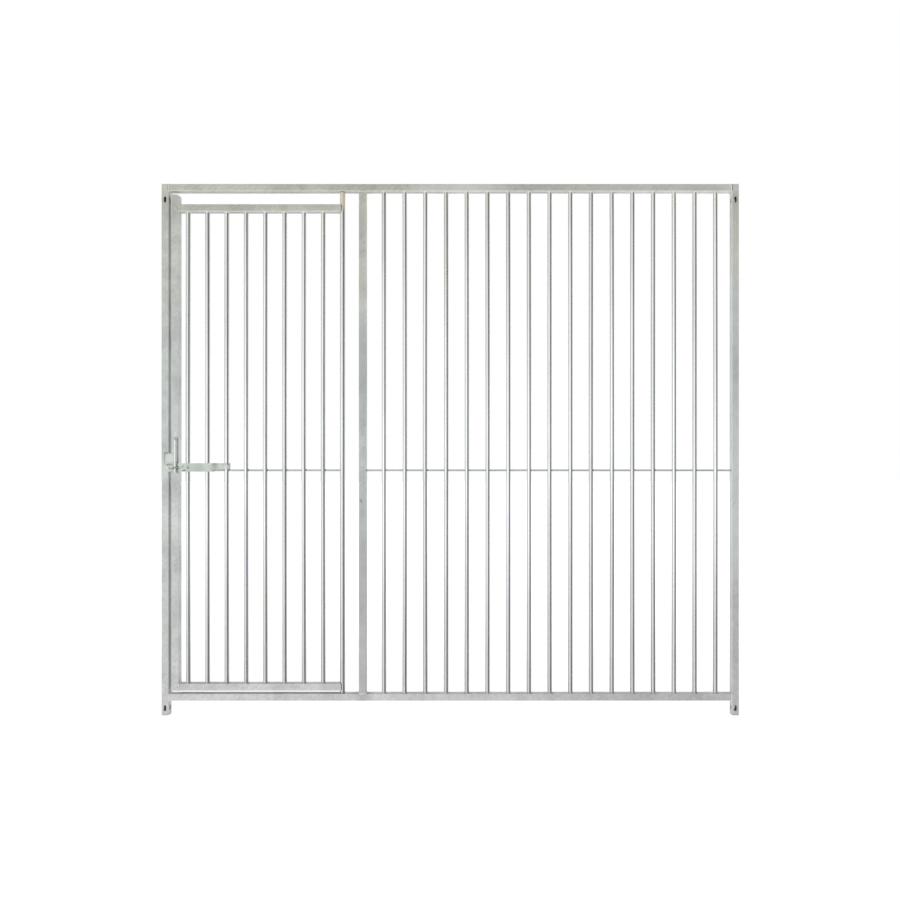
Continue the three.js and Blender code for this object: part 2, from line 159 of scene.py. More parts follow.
# Weld beads
SEAM_BEAD = 0.0028  # radius of the bead between two tubes
GROUND_BEAD = 0.0019  # of those that are dressed nearly flush, at the bottom rail and mullion
SHADE_LINE = 0.0011  # radius of the painted shade lines: beside the seams where a bead bit into the tube, round the keeper plate and outside the bars' beads
SHADE_LINE_SUNK = 0.0006
UNDERCUT_SHADE_SHIFT = 0.0025  # from the upright tube's side to the painted shade line's centre
UNDERCUT_SHADE_INSET = {  # how far the dark line stops short of the rail's edges
    "top_rail": 0.003,
    "door_top_rail": 0.004,
    "door_bottom_rail": 0.009,
}
SEAM_SUNK = 0.0012  # how deep a seam's centre lies under flush faces
SEAM_SHIFT = 0.0006  # and how far along the lying tube
SEAM_CLEAR = 0.002  # the mullion's seams stop this short of its sides
CORNER_BEAD = 0.0019
RING_BEAD = 0.0020  # round a bar where it enters its rail
TACK_BEAD = 0.0012  # on the tie rods: real tacks, coloured dark as painted shade beside the bars
TACK_SUNK = 0.0002  # in the bar
TACK_LIFT = 0.0004  # off the rod
BEAD_STEP = 0.001
LUMP_SCALE = 160.0
RING_SPAN = 345  # degrees round a bar
RING_STEPS = 40
FOOT_SHADOW_SPAN = (-75, 35)
TACK_SPAN = (10, 190)  # degrees round a tie rod
TACK_STEPS = 10
FRAME_SEED, DOOR_SEED = 11, 12  # for where the rings' gaps are
BEAD_TAPER = 0.04  # share of its length over which a bead thins out at an end
LINE_TAPER = 0.3  # and of a dark line's or a tack's
PLATE_LINE_END = 0.003  # the painted shadow line round the keeper plate stops this far from the post's side

# ---------------- places, from the frame


def middle(node):
    low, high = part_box(node)
    return (low + high) / 2


def side_of(node, axis, high):
    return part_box(node)[1 if high else 0][axis]


def half_width(node, axis=0):
    return (side_of(node, axis, True) - side_of(node, axis, False)) / 2


joint_at = {joint["name"]: Vector(joint["pos_m"]) for joint in frame["joints"]}
bay_bar_names = sorted(name for name in frame["nodes"] if name.startswith("fixed_bar_"))
door_bar_names = sorted(name for name in frame["nodes"] if name.startswith("door_bar_"))
mid_y = middle("left_post").y
front_y = side_of("left_post", 1, False)
back_y = side_of("left_post", 1, True)
half_tube = (back_y - front_y) / 2
seam_faces = (front_y + SEAM_SUNK, back_y - SEAM_SUNK)
door_axis = Vector((joint_at["door_swing"].x, joint_at["door_swing"].y, 0))

# ---------------- trees


class Tree:
    """Adds nodes to a shader, world or geometry tree and links them."""

    def __init__(self, tree):
        self.tree = tree

    def put(self, socket, value):
        if isinstance(value, bpy.types.NodeSocket):
            self.tree.links.new(value, socket)
        else:
            socket.default_value = value

    def add(self, kind, *values, **named):
        """Values fill the inputs in order, None skips one. Names that are inputs fill them,
        and other names are the node's settings."""
        node = self.tree.nodes.new(kind)
        filled = [name for name in named if not hasattr(node, name)]
        for name, value in named.items():
            if name not in filled:
                setattr(node, name, value)
        for socket, value in zip(node.inputs, values):
            if value is not None:
                self.put(socket, value)
        for name in filled:
            self.put(node.inputs[name.replace("_", " ")], named[name])
        return node

    def first(self, kind, *values, **named):
        """The first output of a new node."""
        return self.add(kind, *values, **named).outputs[0]

    def math(self, operation, *values, clamp=False):
        return self.first("ShaderNodeMath", *values, operation=operation, use_clamp=clamp)

    def vector(self, operation, *values):
        node = self.add("ShaderNodeVectorMath", *values, operation=operation)
        return node.outputs["Value" if operation == "LENGTH" else "Vector"]

    def scaled(self, vector, scale):
        return self.first("ShaderNodeVectorMath", vector, operation="SCALE", Scale=scale)

    def place(self):
        return self.add("ShaderNodeTexCoord").outputs["Object"]

    def height_of(self, vector):
        return self.add("ShaderNodeSeparateXYZ", vector).outputs[2]

    def noise(self, place, scale, detail, roughness=0.5, output=0):
        node = self.add(
            "ShaderNodeTexNoise", place, Scale=scale, Detail=detail, Roughness=roughness
        )
        return node.outputs[output]

    def remap(self, value, from_low, from_high, to_low=0.0, to_high=1.0, smooth=True):
        return self.first(
            "ShaderNodeMapRange", value, from_low, from_high, to_low, to_high,
            interpolation_type="SMOOTHSTEP" if smooth else "LINEAR",
        )

    def blend(self, share, first, second, how="MIX"):
        node = self.add("ShaderNodeMix", data_type="RGBA", blend_type=how)
        self.put(node.inputs[0], share)
        self.put(node.inputs[6], first)
        self.put(node.inputs[7], second)
        return node.outputs[2]

    def ramp(self, value, stops, interpolation="LINEAR"):
        node = self.add("ShaderNodeValToRGB", value)
        node.color_ramp.interpolation = interpolation
        elements = node.color_ramp.elements
        while len(elements) < len(stops):
            elements.new(1.0)
        for element, (place, colour) in zip(elements, stops):
            element.position = place
            element.color = (*colour, 1.0)
        return node.outputs[0]

    def sweep(self, curve, given):
        """A rod with closed ends along a curve, of the group's Radius and Sides."""
        section = self.first(
            "GeometryNodeCurvePrimitiveCircle", mode="RADIUS", Resolution=given["Sides"],
            Radius=given["Radius"],
        )
        return self.first(
            "GeometryNodeCurveToMesh", Curve=curve, Profile_Curve=section, Fill_Caps=True
        )

    def hand_out(self, mesh, given, out):
        """Ends a geometry tree: the mesh smooth and in the group's Material."""
        mesh = self.first("GeometryNodeSetShadeSmooth", Geometry=mesh, Shade_Smooth=True)
        mesh = self.first("GeometryNodeSetMaterial", Geometry=mesh, Material=given["Material"])
        self.put(out.inputs[0], mesh)
        return self.tree


def new_group(name, kind, inputs, outputs):
    """A node group with named sockets. Returns its Tree, its input sockets and its output node."""
    group = bpy.data.node_groups.new(name, kind)
    for title, socket, default in inputs:
        made = group.interface.new_socket(title, in_out="INPUT", socket_type=socket)
        if default is not None:
            made.default_value = default
    for title, socket in outputs:
        group.interface.new_socket(title, in_out="OUTPUT", socket_type=socket)
    tree = Tree(group)
    given = tree.add("NodeGroupInput").outputs
    return tree, given, tree.add("NodeGroupOutput")


FLOAT, VECTOR, COLOUR = "NodeSocketFloat", "NodeSocketVector", "NodeSocketColor"
COUNT, GEOMETRY, MATERIAL = "NodeSocketInt", "NodeSocketGeometry", "NodeSocketMaterial"
HALF = (0.5, 0.5, 0.5)  # a colour noise's middle
PATCH_WANDER = 0.012  # how far a patch's outline strays
LUMPS_A_PATCH = 1.8  # over one patch's width
DRIFTS_A_PATCH = 0.55
RIPPLE_SLANT = math.radians(38)
WAVE_SCALE = 0.314  # the wave texture's scale for bands a metre apart
TINT_TOP = 1.84  # the height where the last of the height tints is reached
TINT_WANDER = 0.12
TINT_WANDER_SCALE = 2.5
RAGGED_SCALE = 600.0

# ---------------- zinc effects, and painted light and shade


def mottle_group():
    """Soft crystal patches, clouds, lumps and grain of a hot-dipped surface, and its drift from
    an olive grey to a lavender one."""
    tree, given, out = new_group(
        "zinc_mottle", "ShaderNodeTree",
        [("Patch Size", FLOAT, 0.009), ("Cloud Size", FLOAT, 0.09), ("Grain Size", FLOAT, 0.0012),
         ("Stretch", VECTOR, (1.0, 1.0, 1.0))],
        [("Patches", FLOAT), ("Clouds", FLOAT), ("Lumps", FLOAT), ("Grain", FLOAT),
         ("Hue", COLOUR)],
    )
    place = tree.vector("MULTIPLY", tree.place(), given["Stretch"])
    patch_scale = tree.math("DIVIDE", 1.0, given["Patch Size"])
    wander = tree.vector("SUBTRACT", tree.noise(place, patch_scale, 2.0, output="Color"), HALF)
    bent = tree.vector("ADD", place, tree.scaled(wander, PATCH_WANDER))
    cells = tree.add(
        "ShaderNodeTexVoronoi", bent, feature="SMOOTH_F1", Scale=patch_scale, Smoothness=0.35
    )
    shade = tree.add("ShaderNodeSeparateColor", cells.outputs["Color"]).outputs[0]
    tree.put(out.inputs["Patches"], shade)
    cloud_scale = tree.math("DIVIDE", 1.0, given["Cloud Size"])
    clouds = tree.noise(place, cloud_scale, 5.0, 0.62)
    tree.put(out.inputs["Clouds"], tree.remap(clouds, 0.3, 0.7))
    lump_scale = tree.math("MULTIPLY", patch_scale, LUMPS_A_PATCH)
    tree.put(out.inputs["Lumps"], tree.noise(place, lump_scale, 1.0))
    drift = tree.noise(place, tree.math("MULTIPLY", patch_scale, DRIFTS_A_PATCH), 2.0)
    stops = [(0.0, (1.005, 1.004, 0.972)), (0.5, (1.0, 1.0, 1.0)), (1.0, (0.992, 0.994, 1.02))]
    tree.put(out.inputs["Hue"], tree.ramp(tree.remap(drift, 0.35, 0.65), stops))
    grain_scale = tree.math("DIVIDE", 1.0, given["Grain Size"])
    tree.put(out.inputs["Grain"], tree.noise(place, grain_scale, 3.0, 0.6))
    return tree.tree


def ripple_group():
    """Slanting ripples where the zinc froze while it ran off."""
    tree, given, out = new_group(
        "zinc_ripples", "ShaderNodeTree",
        [("Spacing", FLOAT, 0.016), ("Patch Size", FLOAT, 0.25)],
        [("Ripples", FLOAT)],
    )
    place = tree.place()
    turned = tree.first("ShaderNodeMapping", place, Rotation=(0.0, RIPPLE_SLANT, 0.0))
    scale = tree.math("DIVIDE", WAVE_SCALE, given["Spacing"])
    waves = tree.add(
        "ShaderNodeTexWave", turned, wave_type="BANDS", bands_direction="Z",
        wave_profile="SIN", Scale=scale, Distortion=5.0, Detail=2.0, Detail_Scale=1.6,
    )
    patch_scale = tree.math("DIVIDE", 1.0, given["Patch Size"])
    where = tree.remap(tree.noise(place, patch_scale, 2.0), 0.42, 0.62)
    centred = tree.math("SUBTRACT", waves.outputs["Fac"], 0.5)
    tree.put(out.inputs["Ripples"], tree.math("MULTIPLY", centred, where))
    return tree.tree


def height_light_group():
    """Painted light by height: the colour runs from a warm olive at the top to a cool grey and a brighter neutral
    one at the foot.
    """
    tree, _, out = new_group("zinc_height_tint", "ShaderNodeTree", [], [("Tint", COLOUR)])
    place = tree.place()
    wander = tree.noise(place, TINT_WANDER_SCALE, 2.0)
    wander = tree.remap(wander, 0.3, 0.7, -TINT_WANDER, TINT_WANDER)
    height = tree.math("ADD", tree.height_of(place), wander)
    share = tree.remap(height, 0.0, TINT_TOP, smooth=False)
    stops = [
        (0.00, (1.205, 1.200, 1.175)),
        (0.20, (1.060, 1.070, 1.050)),
        (0.50, (0.960, 1.010, 0.990)),
        (0.75, (0.980, 1.010, 0.970)),
        (1.00, (0.992, 1.002, 0.885)),
    ]
    tree.put(out.inputs["Tint"], tree.ramp(share, stops))
    return tree.tree


def edge_highlight_group():
    """Rounded edges, pale partly from the thick coat and partly as a painted highlight: no face there looks along
    an axis.
    """
    tree, _, out = new_group("pale_edges", "ShaderNodeTree", [], [("Edge", FLOAT)])
    facing = tree.vector("ABSOLUTE", tree.add("ShaderNodeNewGeometry").outputs["Normal"])
    ways = tree.add("ShaderNodeSeparateXYZ", facing).outputs
    most = tree.math("MAXIMUM", tree.math("MAXIMUM", ways[0], ways[1]), ways[2])
    tree.put(out.inputs["Edge"], tree.remap(most, 0.99, 0.90))
    return tree.tree


def dust_group():
    """Dust that settles on faces that look up."""
    tree, given, out = new_group(
        "settled_dust", "ShaderNodeTree", [("Size", FLOAT, 0.02)], [("Dust", FLOAT)]
    )
    up = tree.height_of(tree.add("ShaderNodeNewGeometry").outputs["Normal"])
    patch = tree.noise(tree.place(), tree.math("DIVIDE", 1.0, given["Size"]), 4.0, 0.7)
    patch = tree.remap(patch, 0.3, 0.6, 0.45, 1.0)
    tree.put(out.inputs["Dust"], tree.math("MULTIPLY", tree.remap(up, 0.35, 0.9), patch))
    return tree.tree


def crevice_shade_group():
    """Painted shade in the corners and gaps where pieces meet."""
    tree, given, out = new_group(
        "crevice_grime", "ShaderNodeTree", [("Reach", FLOAT, 0.015)], [("Grime", FLOAT)]
    )
    open_share = tree.add("ShaderNodeAmbientOcclusion", samples=8, Distance=given["Reach"])
    tree.put(out.inputs["Grime"], tree.remap(open_share.outputs["AO"], 0.82, 0.25))
    return tree.tree


def spot_group():
    """A small spot with a ragged edge, stretched and turned about the line of sight: the mask for stains and
    marks, and for spots of painted light, shade and reflection.
    """
    tree, given, out = new_group(
        "stain_spot", "ShaderNodeTree",
        [("Centre", VECTOR, (0.0, 0.0, 0.0)), ("Half Size", VECTOR, (0.004, 0.02, 0.004)),
         ("Turn", FLOAT, 0.0), ("Raggedness", FLOAT, 0.004)],
        [("Stain", FLOAT)],
    )
    place = tree.place()
    ragged = tree.vector("SUBTRACT", tree.noise(place, RAGGED_SCALE, 2.0, output="Color"), HALF)
    ragged = tree.vector("ADD", place, tree.scaled(ragged, given["Raggedness"]))
    turned = tree.first(
        "ShaderNodeVectorRotate", tree.vector("SUBTRACT", ragged, given["Centre"]),
        rotation_type="Y_AXIS", Angle=given["Turn"],
    )
    away = tree.vector("LENGTH", tree.vector("DIVIDE", turned, given["Half Size"]))
    tree.put(out.inputs["Stain"], tree.remap(away, 1.1, 0.4))
    return tree.tree


MOTTLE = mottle_group()
RIPPLE = ripple_group()
HEIGHT_LIGHT = height_light_group()
DUST = dust_group()
CREVICE_SHADE = crevice_shade_group()
SPOT = spot_group()
EDGE_HIGHLIGHT = edge_highlight_group()

# ---------------- materials


def use(tree, group, **values):
    return tree.add("ShaderNodeGroup", node_tree=group, **values).outputs


DUST_GREY = (0.75, 0.69, 0.67)
SHADE_BLACK = (0.06, 0.06, 0.055)
EDGE_WHITE = (0.95, 0.95, 0.94)
DUST_COVER = 0.7
PATCH_DULL, CLOUD_DULL, DUST_DULL, SPOT_DULL = 0.06, -0.07, 0.08, 0.25  # on the roughness
EDGE_COVER = 0.8  # what a pale edge takes of the metal
SPOT_METAL = 0.3  # what a full spot leaves of it
GRAIN_RELIEF, LUMP_RELIEF, RIPPLE_RELIEF = 0.3, 0.7, 0.6


def zinc(name, colour, *, metallic, roughness, patches, clouds, grain, bump, ripples=0.0,
         patch_size=0.009, grain_size=0.0012, stretch=(1.0, 1.0, 1.0), crevice_shade=0.6, tint=1.0,
         pale_edges=0.0, spots=(), ragged=0.004):
    """Hot-dip zinc. The amounts say how far each effect moves the tone either way."""
    material = bpy.data.materials.new(name)
    material.use_nodes = True
    tree = Tree(material.node_tree)
    shader = material.node_tree.nodes["Principled BSDF"]
    mottle = use(tree, MOTTLE, Patch_Size=patch_size, Grain_Size=grain_size, Stretch=stretch)
    waves = use(tree, RIPPLE)["Ripples"]

    def around(value, amount):
        return tree.math("MULTIPLY", tree.math("SUBTRACT", value, 0.5), 2 * amount)

    tone = tree.math("ADD", 1.0, around(mottle["Patches"], patches))
    tone = tree.math("ADD", tone, around(mottle["Clouds"], clouds))
    tone = tree.math("ADD", tone, around(mottle["Grain"], grain))
    tone = tree.math("ADD", tone, tree.math("MULTIPLY", waves, 2 * ripples))
    grey = tree.add("ShaderNodeCombineColor", tone, tone, tone).outputs[0]
    paint = tree.blend(1.0, (*colour, 1.0), grey, "MULTIPLY")
    # Painted light by height, multiplied into the colour.
    paint = tree.blend(tint, paint, use(tree, HEIGHT_LIGHT)["Tint"], "MULTIPLY")
    paint = tree.blend(1.0, paint, mottle["Hue"], "MULTIPLY")
    dust = use(tree, DUST)["Dust"]
    paint = tree.blend(tree.math("MULTIPLY", dust, DUST_COVER), paint, (*DUST_GREY, 1.0))
    # Painted shade: the colour darkens towards black where pieces meet.
    corner_shade = use(tree, CREVICE_SHADE)["Grime"]
    paint = tree.blend(tree.math("MULTIPLY", corner_shade, crevice_shade), paint, (*SHADE_BLACK, 1.0))
    dull = around(mottle["Patches"], PATCH_DULL)
    dull = tree.math("ADD", dull, around(mottle["Clouds"], CLOUD_DULL))
    dull = tree.math("ADD", dull, tree.math("MULTIPLY", dust, DUST_DULL))
    bare = 1.0
    # Pale edges: partly the thick coat, partly a painted highlight on the rounded corners.
    if pale_edges:
        mask = tree.math("MULTIPLY", use(tree, EDGE_HIGHLIGHT)["Edge"], pale_edges)
        paint = tree.blend(mask, paint, (*EDGE_WHITE, 1.0))
        bare = tree.math("SUBTRACT", 1.0, tree.math("MULTIPLY", mask, EDGE_COVER))
    for centre, half_size, turn, spot_colour, strength in spots:
        spot_mask = use(
            tree, SPOT, Centre=centre, Half_Size=half_size, Turn=turn, Raggedness=ragged
        )
        mask = tree.math("MULTIPLY", spot_mask["Stain"], strength)
        paint = tree.blend(mask, paint, (*spot_colour, 1.0))
        dull = tree.math("ADD", dull, tree.math("MULTIPLY", mask, SPOT_DULL))
        left = tree.remap(mask, 0.0, 1.0, 1.0, SPOT_METAL, smooth=False)
        bare = tree.math("MULTIPLY", bare, left)
    tree.put(shader.inputs["Base Color"], paint)
    if bare != 1.0:
        metallic = tree.math("MULTIPLY", bare, metallic)
    tree.put(shader.inputs["Metallic"], metallic)
    tree.put(shader.inputs["Roughness"], tree.math("ADD", roughness, dull, clamp=True))
    height = around(mottle["Grain"], GRAIN_RELIEF)
    height = tree.math("ADD", height, around(mottle["Lumps"], LUMP_RELIEF))
    height = tree.math("ADD", height, tree.math("MULTIPLY", waves, RIPPLE_RELIEF))
    relief = tree.add("ShaderNodeBump", Strength=1.0, Distance=bump, Height=height)
    tree.put(shader.inputs["Normal"], relief.outputs[0])
    return material


OLIVE_MARK = (0.16, 0.15, 0.10)
GREEN_GREY = (0.26, 0.29, 0.24)
DARK_GREY = (0.12, 0.12, 0.11)
RUST = (0.13, 0.05, 0.025)
BEIGE = (0.78, 0.68, 0.56)
MID_GREY = (0.44, 0.45, 0.44)
DULL_GREY = (0.33, 0.34, 0.33)
PALE = (0.90, 0.90, 0.88)
PALE_GREEN = (0.86, 0.90, 0.86)
PALE_YELLOW = (0.85, 0.80, 0.60)
SANDY = (0.62, 0.60, 0.49)
SPOT_DEPTH = 0.05  # along the line of sight, right through a piece
TUBE_MARKS = [  # x and z on the front faces, half sizes, turn, colour, strength
    (-0.3085, 0.742, (0.003, 0.02, 0.011), 28, OLIVE_MARK, 0.75),
    (0.9830, 0.735, (0.003, 0.02, 0.011), -28, OLIVE_MARK, 0.7),
    (0.04, 1.827, (0.22, 0.02, 0.03), 0, PALE, 0.4),
    (0.9790, 0.80, (0.06, 0.05, 0.42), 0, PALE_GREEN, 0.42),
    (0.9790, 1.48, (0.06, 0.05, 0.32), 0, PALE_GREEN, 0.30),
    (0.9790, 0.90, (0.06, 0.05, 3.00), 0, PALE_GREEN, 0.15),
    (0.80, 1.827, (0.55, 0.05, 0.03), 0, PALE, 0.30),
    (-0.3045, 0.35, (0.05, 0.05, 0.50), 0, MID_GREY, 0.5),
    (-0.3045, 1.22, (0.05, 0.05, 0.22), 0, MID_GREY, 0.55),
    (-0.3000, 1.72, (0.02, 0.05, 0.05), 0, SANDY, 0.35),
    (-0.3100, 1.50, (0.03, 0.05, 0.10), 0, SANDY, 0.35),
    (0.9800, 1.66, (0.04, 0.05, 0.14), 0, SANDY, 0.30),
    (-0.953, 0.974, (0.007, 0.02, 0.011), 0, PALE, 0.6),
    # Rust on the stile behind the strap's slot, darkened also as painted shade inside the slot.
    (-0.945, 0.857, (0.004, 0.02, 0.005), 0, RUST, 0.9),
    (0.9790, 1.672, (0.006, 0.02, 0.009), 0, BEIGE, 0.3),
]
tube_spots = [
    ((x, front_y, z), half_sizes, math.radians(turn), colour, strength)
    for x, z, half_sizes, turn, colour, strength in TUBE_MARKS
]
tube_zinc = zinc(
    "galvanised_tube", (0.65, 0.65, 0.65), metallic=0.85, roughness=0.46, patches=0.08,
    clouds=0.07, grain=0.05, ripples=0.03, bump=0.00015, pale_edges=0.8, spots=tube_spots,
)
BAR_COAT = dict(
    colour=(0.88, 0.88, 0.88), metallic=0.95, patches=0.02, clouds=0.08, grain=0.03,
    patch_size=0.008, grain_size=0.004, stretch=(1.0, 1.0, 0.08), crevice_shade=0.25, tint=0.3,
)
LEFT_REFLECTION_SHIFT = 0.0062  # from a bar's middle to that of the painted dark reflection down its left edge
LEFT_REFLECTION_HEIGHT = 1.15
LEFT_REFLECTION_HALF_SIZES = (0.0034, SPOT_DEPTH, 0.80)
# Painted dark reflection down the left edge of the first and third door bars.
left_edge_reflections = [
    ((middle(bar).x - LEFT_REFLECTION_SHIFT, front_y, LEFT_REFLECTION_HEIGHT), LEFT_REFLECTION_HALF_SIZES, 0.0, DULL_GREY, 0.85)
    for bar in (door_bar_names[0], door_bar_names[2])
]
bar_zinc = zinc(
    "galvanised_bar", **BAR_COAT, roughness=0.23, bump=0.00006, spots=left_edge_reflections, ragged=0.0008
)
PIVOT_STAIN_DROP = 0.025  # below the pivot tube's top
SCRATCH_DROP = 0.047
SCRATCH_SHIFT = 0.002
pivot_top = side_of("door_pivot_tube", 2, True)
stain_centre = (door_axis.x, mid_y, pivot_top - PIVOT_STAIN_DROP)
scratch_centre = (door_axis.x - SCRATCH_SHIFT, front_y, pivot_top - SCRATCH_DROP)
pivot_zinc = zinc(
    "galvanised_pivot_tube", **BAR_COAT, roughness=0.24, bump=0.00008,
    spots=[
        (stain_centre, (0.03, SPOT_DEPTH, 0.045), 0.0, BEIGE, 0.9),
        (scratch_centre, (0.0016, SPOT_DEPTH, 0.0095), math.radians(16), OLIVE_MARK, 0.85),
    ],
)
ROD_COAT = dict(
    patches=0.04, clouds=0.08, grain=0.04, bump=0.0001, patch_size=0.006, grain_size=0.002
)
rod_zinc = zinc(
    "galvanised_latch_rod", (0.93, 0.93, 0.91), **ROD_COAT, metallic=0.55, roughness=0.36,
    crevice_shade=0.3, tint=0.5,
)
tie_rod_zinc = zinc(
    "galvanised_tie_rod", (0.70, 0.70, 0.69), **ROD_COAT, metallic=0.9, roughness=0.34
)
# Painted shade: a dark coat for the shadowed inside of the tubes.
bore_shade_zinc = zinc(
    "zinc_inside_tube", (0.30, 0.30, 0.28), metallic=0.4, roughness=0.7, patches=0.12,
    clouds=0.2, grain=0.1, bump=0.0004, crevice_shade=0.85,
)
STRAP_MARKS = [  # along from the tip and up from the middle, half sizes, turn, colour, strength
    (0.0190, 0.0097, 0.0170, 0.0040, 0, GREEN_GREY, 0.7),
    (0.0114, 0.0080, 0.0035, 0.0035, 0, RUST, 0.5),
    (0.0183, -0.0007, 0.0035, 0.0050, 20, GREEN_GREY, 0.6),
    (0.0235, -0.0050, 0.0090, 0.0032, 0, GREEN_GREY, 0.7),
    (0.0080, -0.0007, 0.0055, 0.0045, 0, PALE, 0.5),
    (0.0315, -0.0035, 0.0022, 0.0040, 0, RUST, 0.95),
    # Rust, and painted shade on the notch's side beside the rod.
    (0.0419, -0.0024, 0.0030, 0.0045, -25, RUST, 0.95),
    (0.0523, -0.0016, 0.0050, 0.0026, 25, DARK_GREY, 0.6),
    (0.0634, 0.0036, 0.0030, 0.0055, -40, OLIVE_MARK, 0.6),
    (0.0686, -0.0107, 0.0080, 0.0032, 0, DARK_GREY, 0.8),
    (0.0600, -0.0075, 0.0040, 0.0020, 0, PALE, 0.6),
    # Painted light: a pale spot that lightens the joggle's shaded slope.
    (0.1720, 0.0000, 0.0200, 0.0140, 0, PALE_GREEN, 0.40),
    (0.1600, -0.0010, 0.0100, 0.0120, 0, GREEN_GREY, 0.15),
    (0.1800, 0.0020, 0.0080, 0.0100, 0, GREEN_GREY, 0.15),
    (0.1707, -0.0007, 0.0034, 0.0034, 0, PALE_YELLOW, 0.6),
    # Painted light: a pale spot that lightens the eye's shaded side.
    (0.2140, 0.0000, 0.0120, 0.0130, 0, PALE, 0.7),
]
strap_low, strap_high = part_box("hasp_strap")
strap_middle = (strap_low.z + strap_high.z) / 2
strap_spots = [
    ((strap_low.x + along, strap_low.y, strap_middle + up), (wide, SPOT_DEPTH, high),
     math.radians(turn), colour, strength)
    for along, up, wide, high, turn, colour, strength in STRAP_MARKS
]
PLATE_MARK_DROP = 0.016  # the pale mark's middle, below the keeper plate's top
plate_mark = middle("keeper_plate")
plate_mark.z = side_of("keeper_plate", 2, True) - PLATE_MARK_DROP
strap_spots.append((tuple(plate_mark), (0.022, SPOT_DEPTH, 0.020), 0.0, PALE, 0.5))
fitting_zinc = zinc(
    "galvanised_fitting", (0.61, 0.62, 0.60), metallic=0.8, roughness=0.42, patches=0.06,
    clouds=0.12, grain=0.05, bump=0.00012, patch_size=0.005, grain_size=0.002,
    spots=strap_spots,
)
weld_zinc = zinc(
    "galvanised_weld", (0.95, 0.95, 0.93), metallic=0.7, roughness=0.36, patches=0.06,
    clouds=0.06, grain=0.06, bump=0.0003, patch_size=0.003, crevice_shade=0.2,
)
# Dark zinc for lines of painted shade: beside the seams, round the keeper plate, outside the bars' feet and on the
# tie-rod tacks.
shade_line_zinc = zinc(
    "weld_undercut", (0.13, 0.13, 0.125), metallic=0.3, roughness=0.6, patches=0.3,
    clouds=0.2, grain=0.3, bump=0.0002, patch_size=0.002,
)

# ---------------- meshes


def link(name, mesh):
    piece = bpy.data.objects.new(name, mesh)
    bpy.context.scene.collection.objects.link(piece)
    return piece


def into_piece(name, shape):
    """An object with the bmesh, which is used up."""
    mesh = bpy.data.meshes.new(name)
    shape.to_mesh(mesh)
    shape.free()
    return link(name, mesh)


def settle(piece):
    """Makes the modifiers' result the piece's own mesh."""
    bpy.context.view_layer.update()
    shown = piece.evaluated_get(bpy.context.evaluated_depsgraph_get())
    mesh = bpy.data.meshes.new_from_object(shown)
    piece.modifiers.clear()
    piece.data = mesh
    mesh.name = piece.name
    return piece


def arc(x, y, radius, start, end, steps):
    angles = [math.radians(start + (end - start) * i / steps) for i in range(steps + 1)]
    return [(x + radius * math.cos(a), y + radius * math.sin(a)) for a in angles]


def circle(radius, sides=ROUND_SIDES):
    return arc(0, 0, radius, 0, 360 - 360 / sides, sides - 1)


def rounded_rectangle(left, right, low, high, radius, steps=CORNER_STEPS):
    return [
        *arc(right - radius, high - radius, radius, 0, 90, steps),
        *arc(left + radius, high - radius, radius, 90, 180, steps),
        *arc(left + radius, low + radius, radius, 180, 270, steps),
        *arc(right - radius, low + radius, radius, 270, 360, steps),
    ]


def square(side, corner):
    return rounded_rectangle(-side / 2, side / 2, -side / 2, side / 2, corner)


def slot_outline(length, width, steps=12):
    """A slot with round ends, its length along the outline's second axis."""
    reach = (length - width) / 2
    return [
        *arc(0, reach, width / 2, 0, 180, steps),
        *arc(0, -reach, width / 2, 180, 360, steps),
    ]


ALONG = {
    "x": lambda u, v, w: (w, u, v),
    "y": lambda u, v, w: (u, w, v),
    "z": lambda u, v, w: (u, v, w),
}


def prism(name, outline, low, high, along, at, hole=None):
    """A prism on an outline, from low to high along an axis, with a bore of the same number of
    points where one is given."""
    turn = ALONG[along]
    shape = bmesh.new()
    ends = (low, high)

    def rings(points):
        return [[shape.verts.new(at + Vector(turn(u, v, w))) for u, v in points] for w in ends]

    def wall(first, second):
        for i in range(len(first)):
            j = (i + 1) % len(first)
            shape.faces.new((first[i], first[j], second[j], second[i]))

    outer = rings(outline)
    wall(*outer)
    if hole:
        inner = rings(hole)
        wall(*inner)
        wall(outer[0], inner[0])
        wall(outer[1], inner[1])
    else:
        shape.faces.new(outer[0])
        shape.faces.new(outer[1])
    bmesh.ops.recalc_face_normals(shape, faces=shape.faces)
    return into_piece(name, shape)


def joined(pieces):
    """One object with the meshes of all the pieces, which are used up."""
    shape = bmesh.new()
    for piece in pieces:
        shape.from_mesh(piece.data)
        bpy.data.objects.remove(piece)
    return into_piece("joined", shape)


def combine(piece, tool, operation):
    made = piece.modifiers.new("combine", "BOOLEAN")
    made.operation = operation
    made.solver = "EXACT"
    made.object = tool
    settle(piece)
    bpy.data.objects.remove(tool)
    return piece


def cut(piece, tools):
    return combine(piece, joined(tools), "DIFFERENCE") if tools else piece


def soften(piece, width=RIM_ROUND, segments=2, angle=SHARP_FROM):
    """Rounds the sharp edges and shades flat faces flat and rounded ones smooth."""
    bevel = piece.modifiers.new("rims", "BEVEL")
    bevel.width = width
    bevel.segments = segments
    bevel.limit_method = "ANGLE"
    bevel.angle_limit = math.radians(angle)
    bevel.use_clamp_overlap = True
    settle(piece)
    piece.data.polygons.foreach_set("use_smooth", [True] * len(piece.data.polygons))
    piece.data.set_sharp_from_angle(angle=math.radians(CREASE_FROM))
    weighted = piece.modifiers.new("shading", "WEIGHTED_NORMAL")
    weighted.keep_sharp = True
    return settle(piece)


def dress(piece, material, body, slot, *nodes):
    """Gives a piece one material, or leaves it those that it has, and says which body carries it
    and which CAD nodes it stands for. The slot is not used."""
    if material:
        piece.data.materials.clear()
        piece.data.materials.append(material)
    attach(piece, body)
    if nodes:
        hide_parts(*nodes)
    return piece


# ---------------- square tube pieces


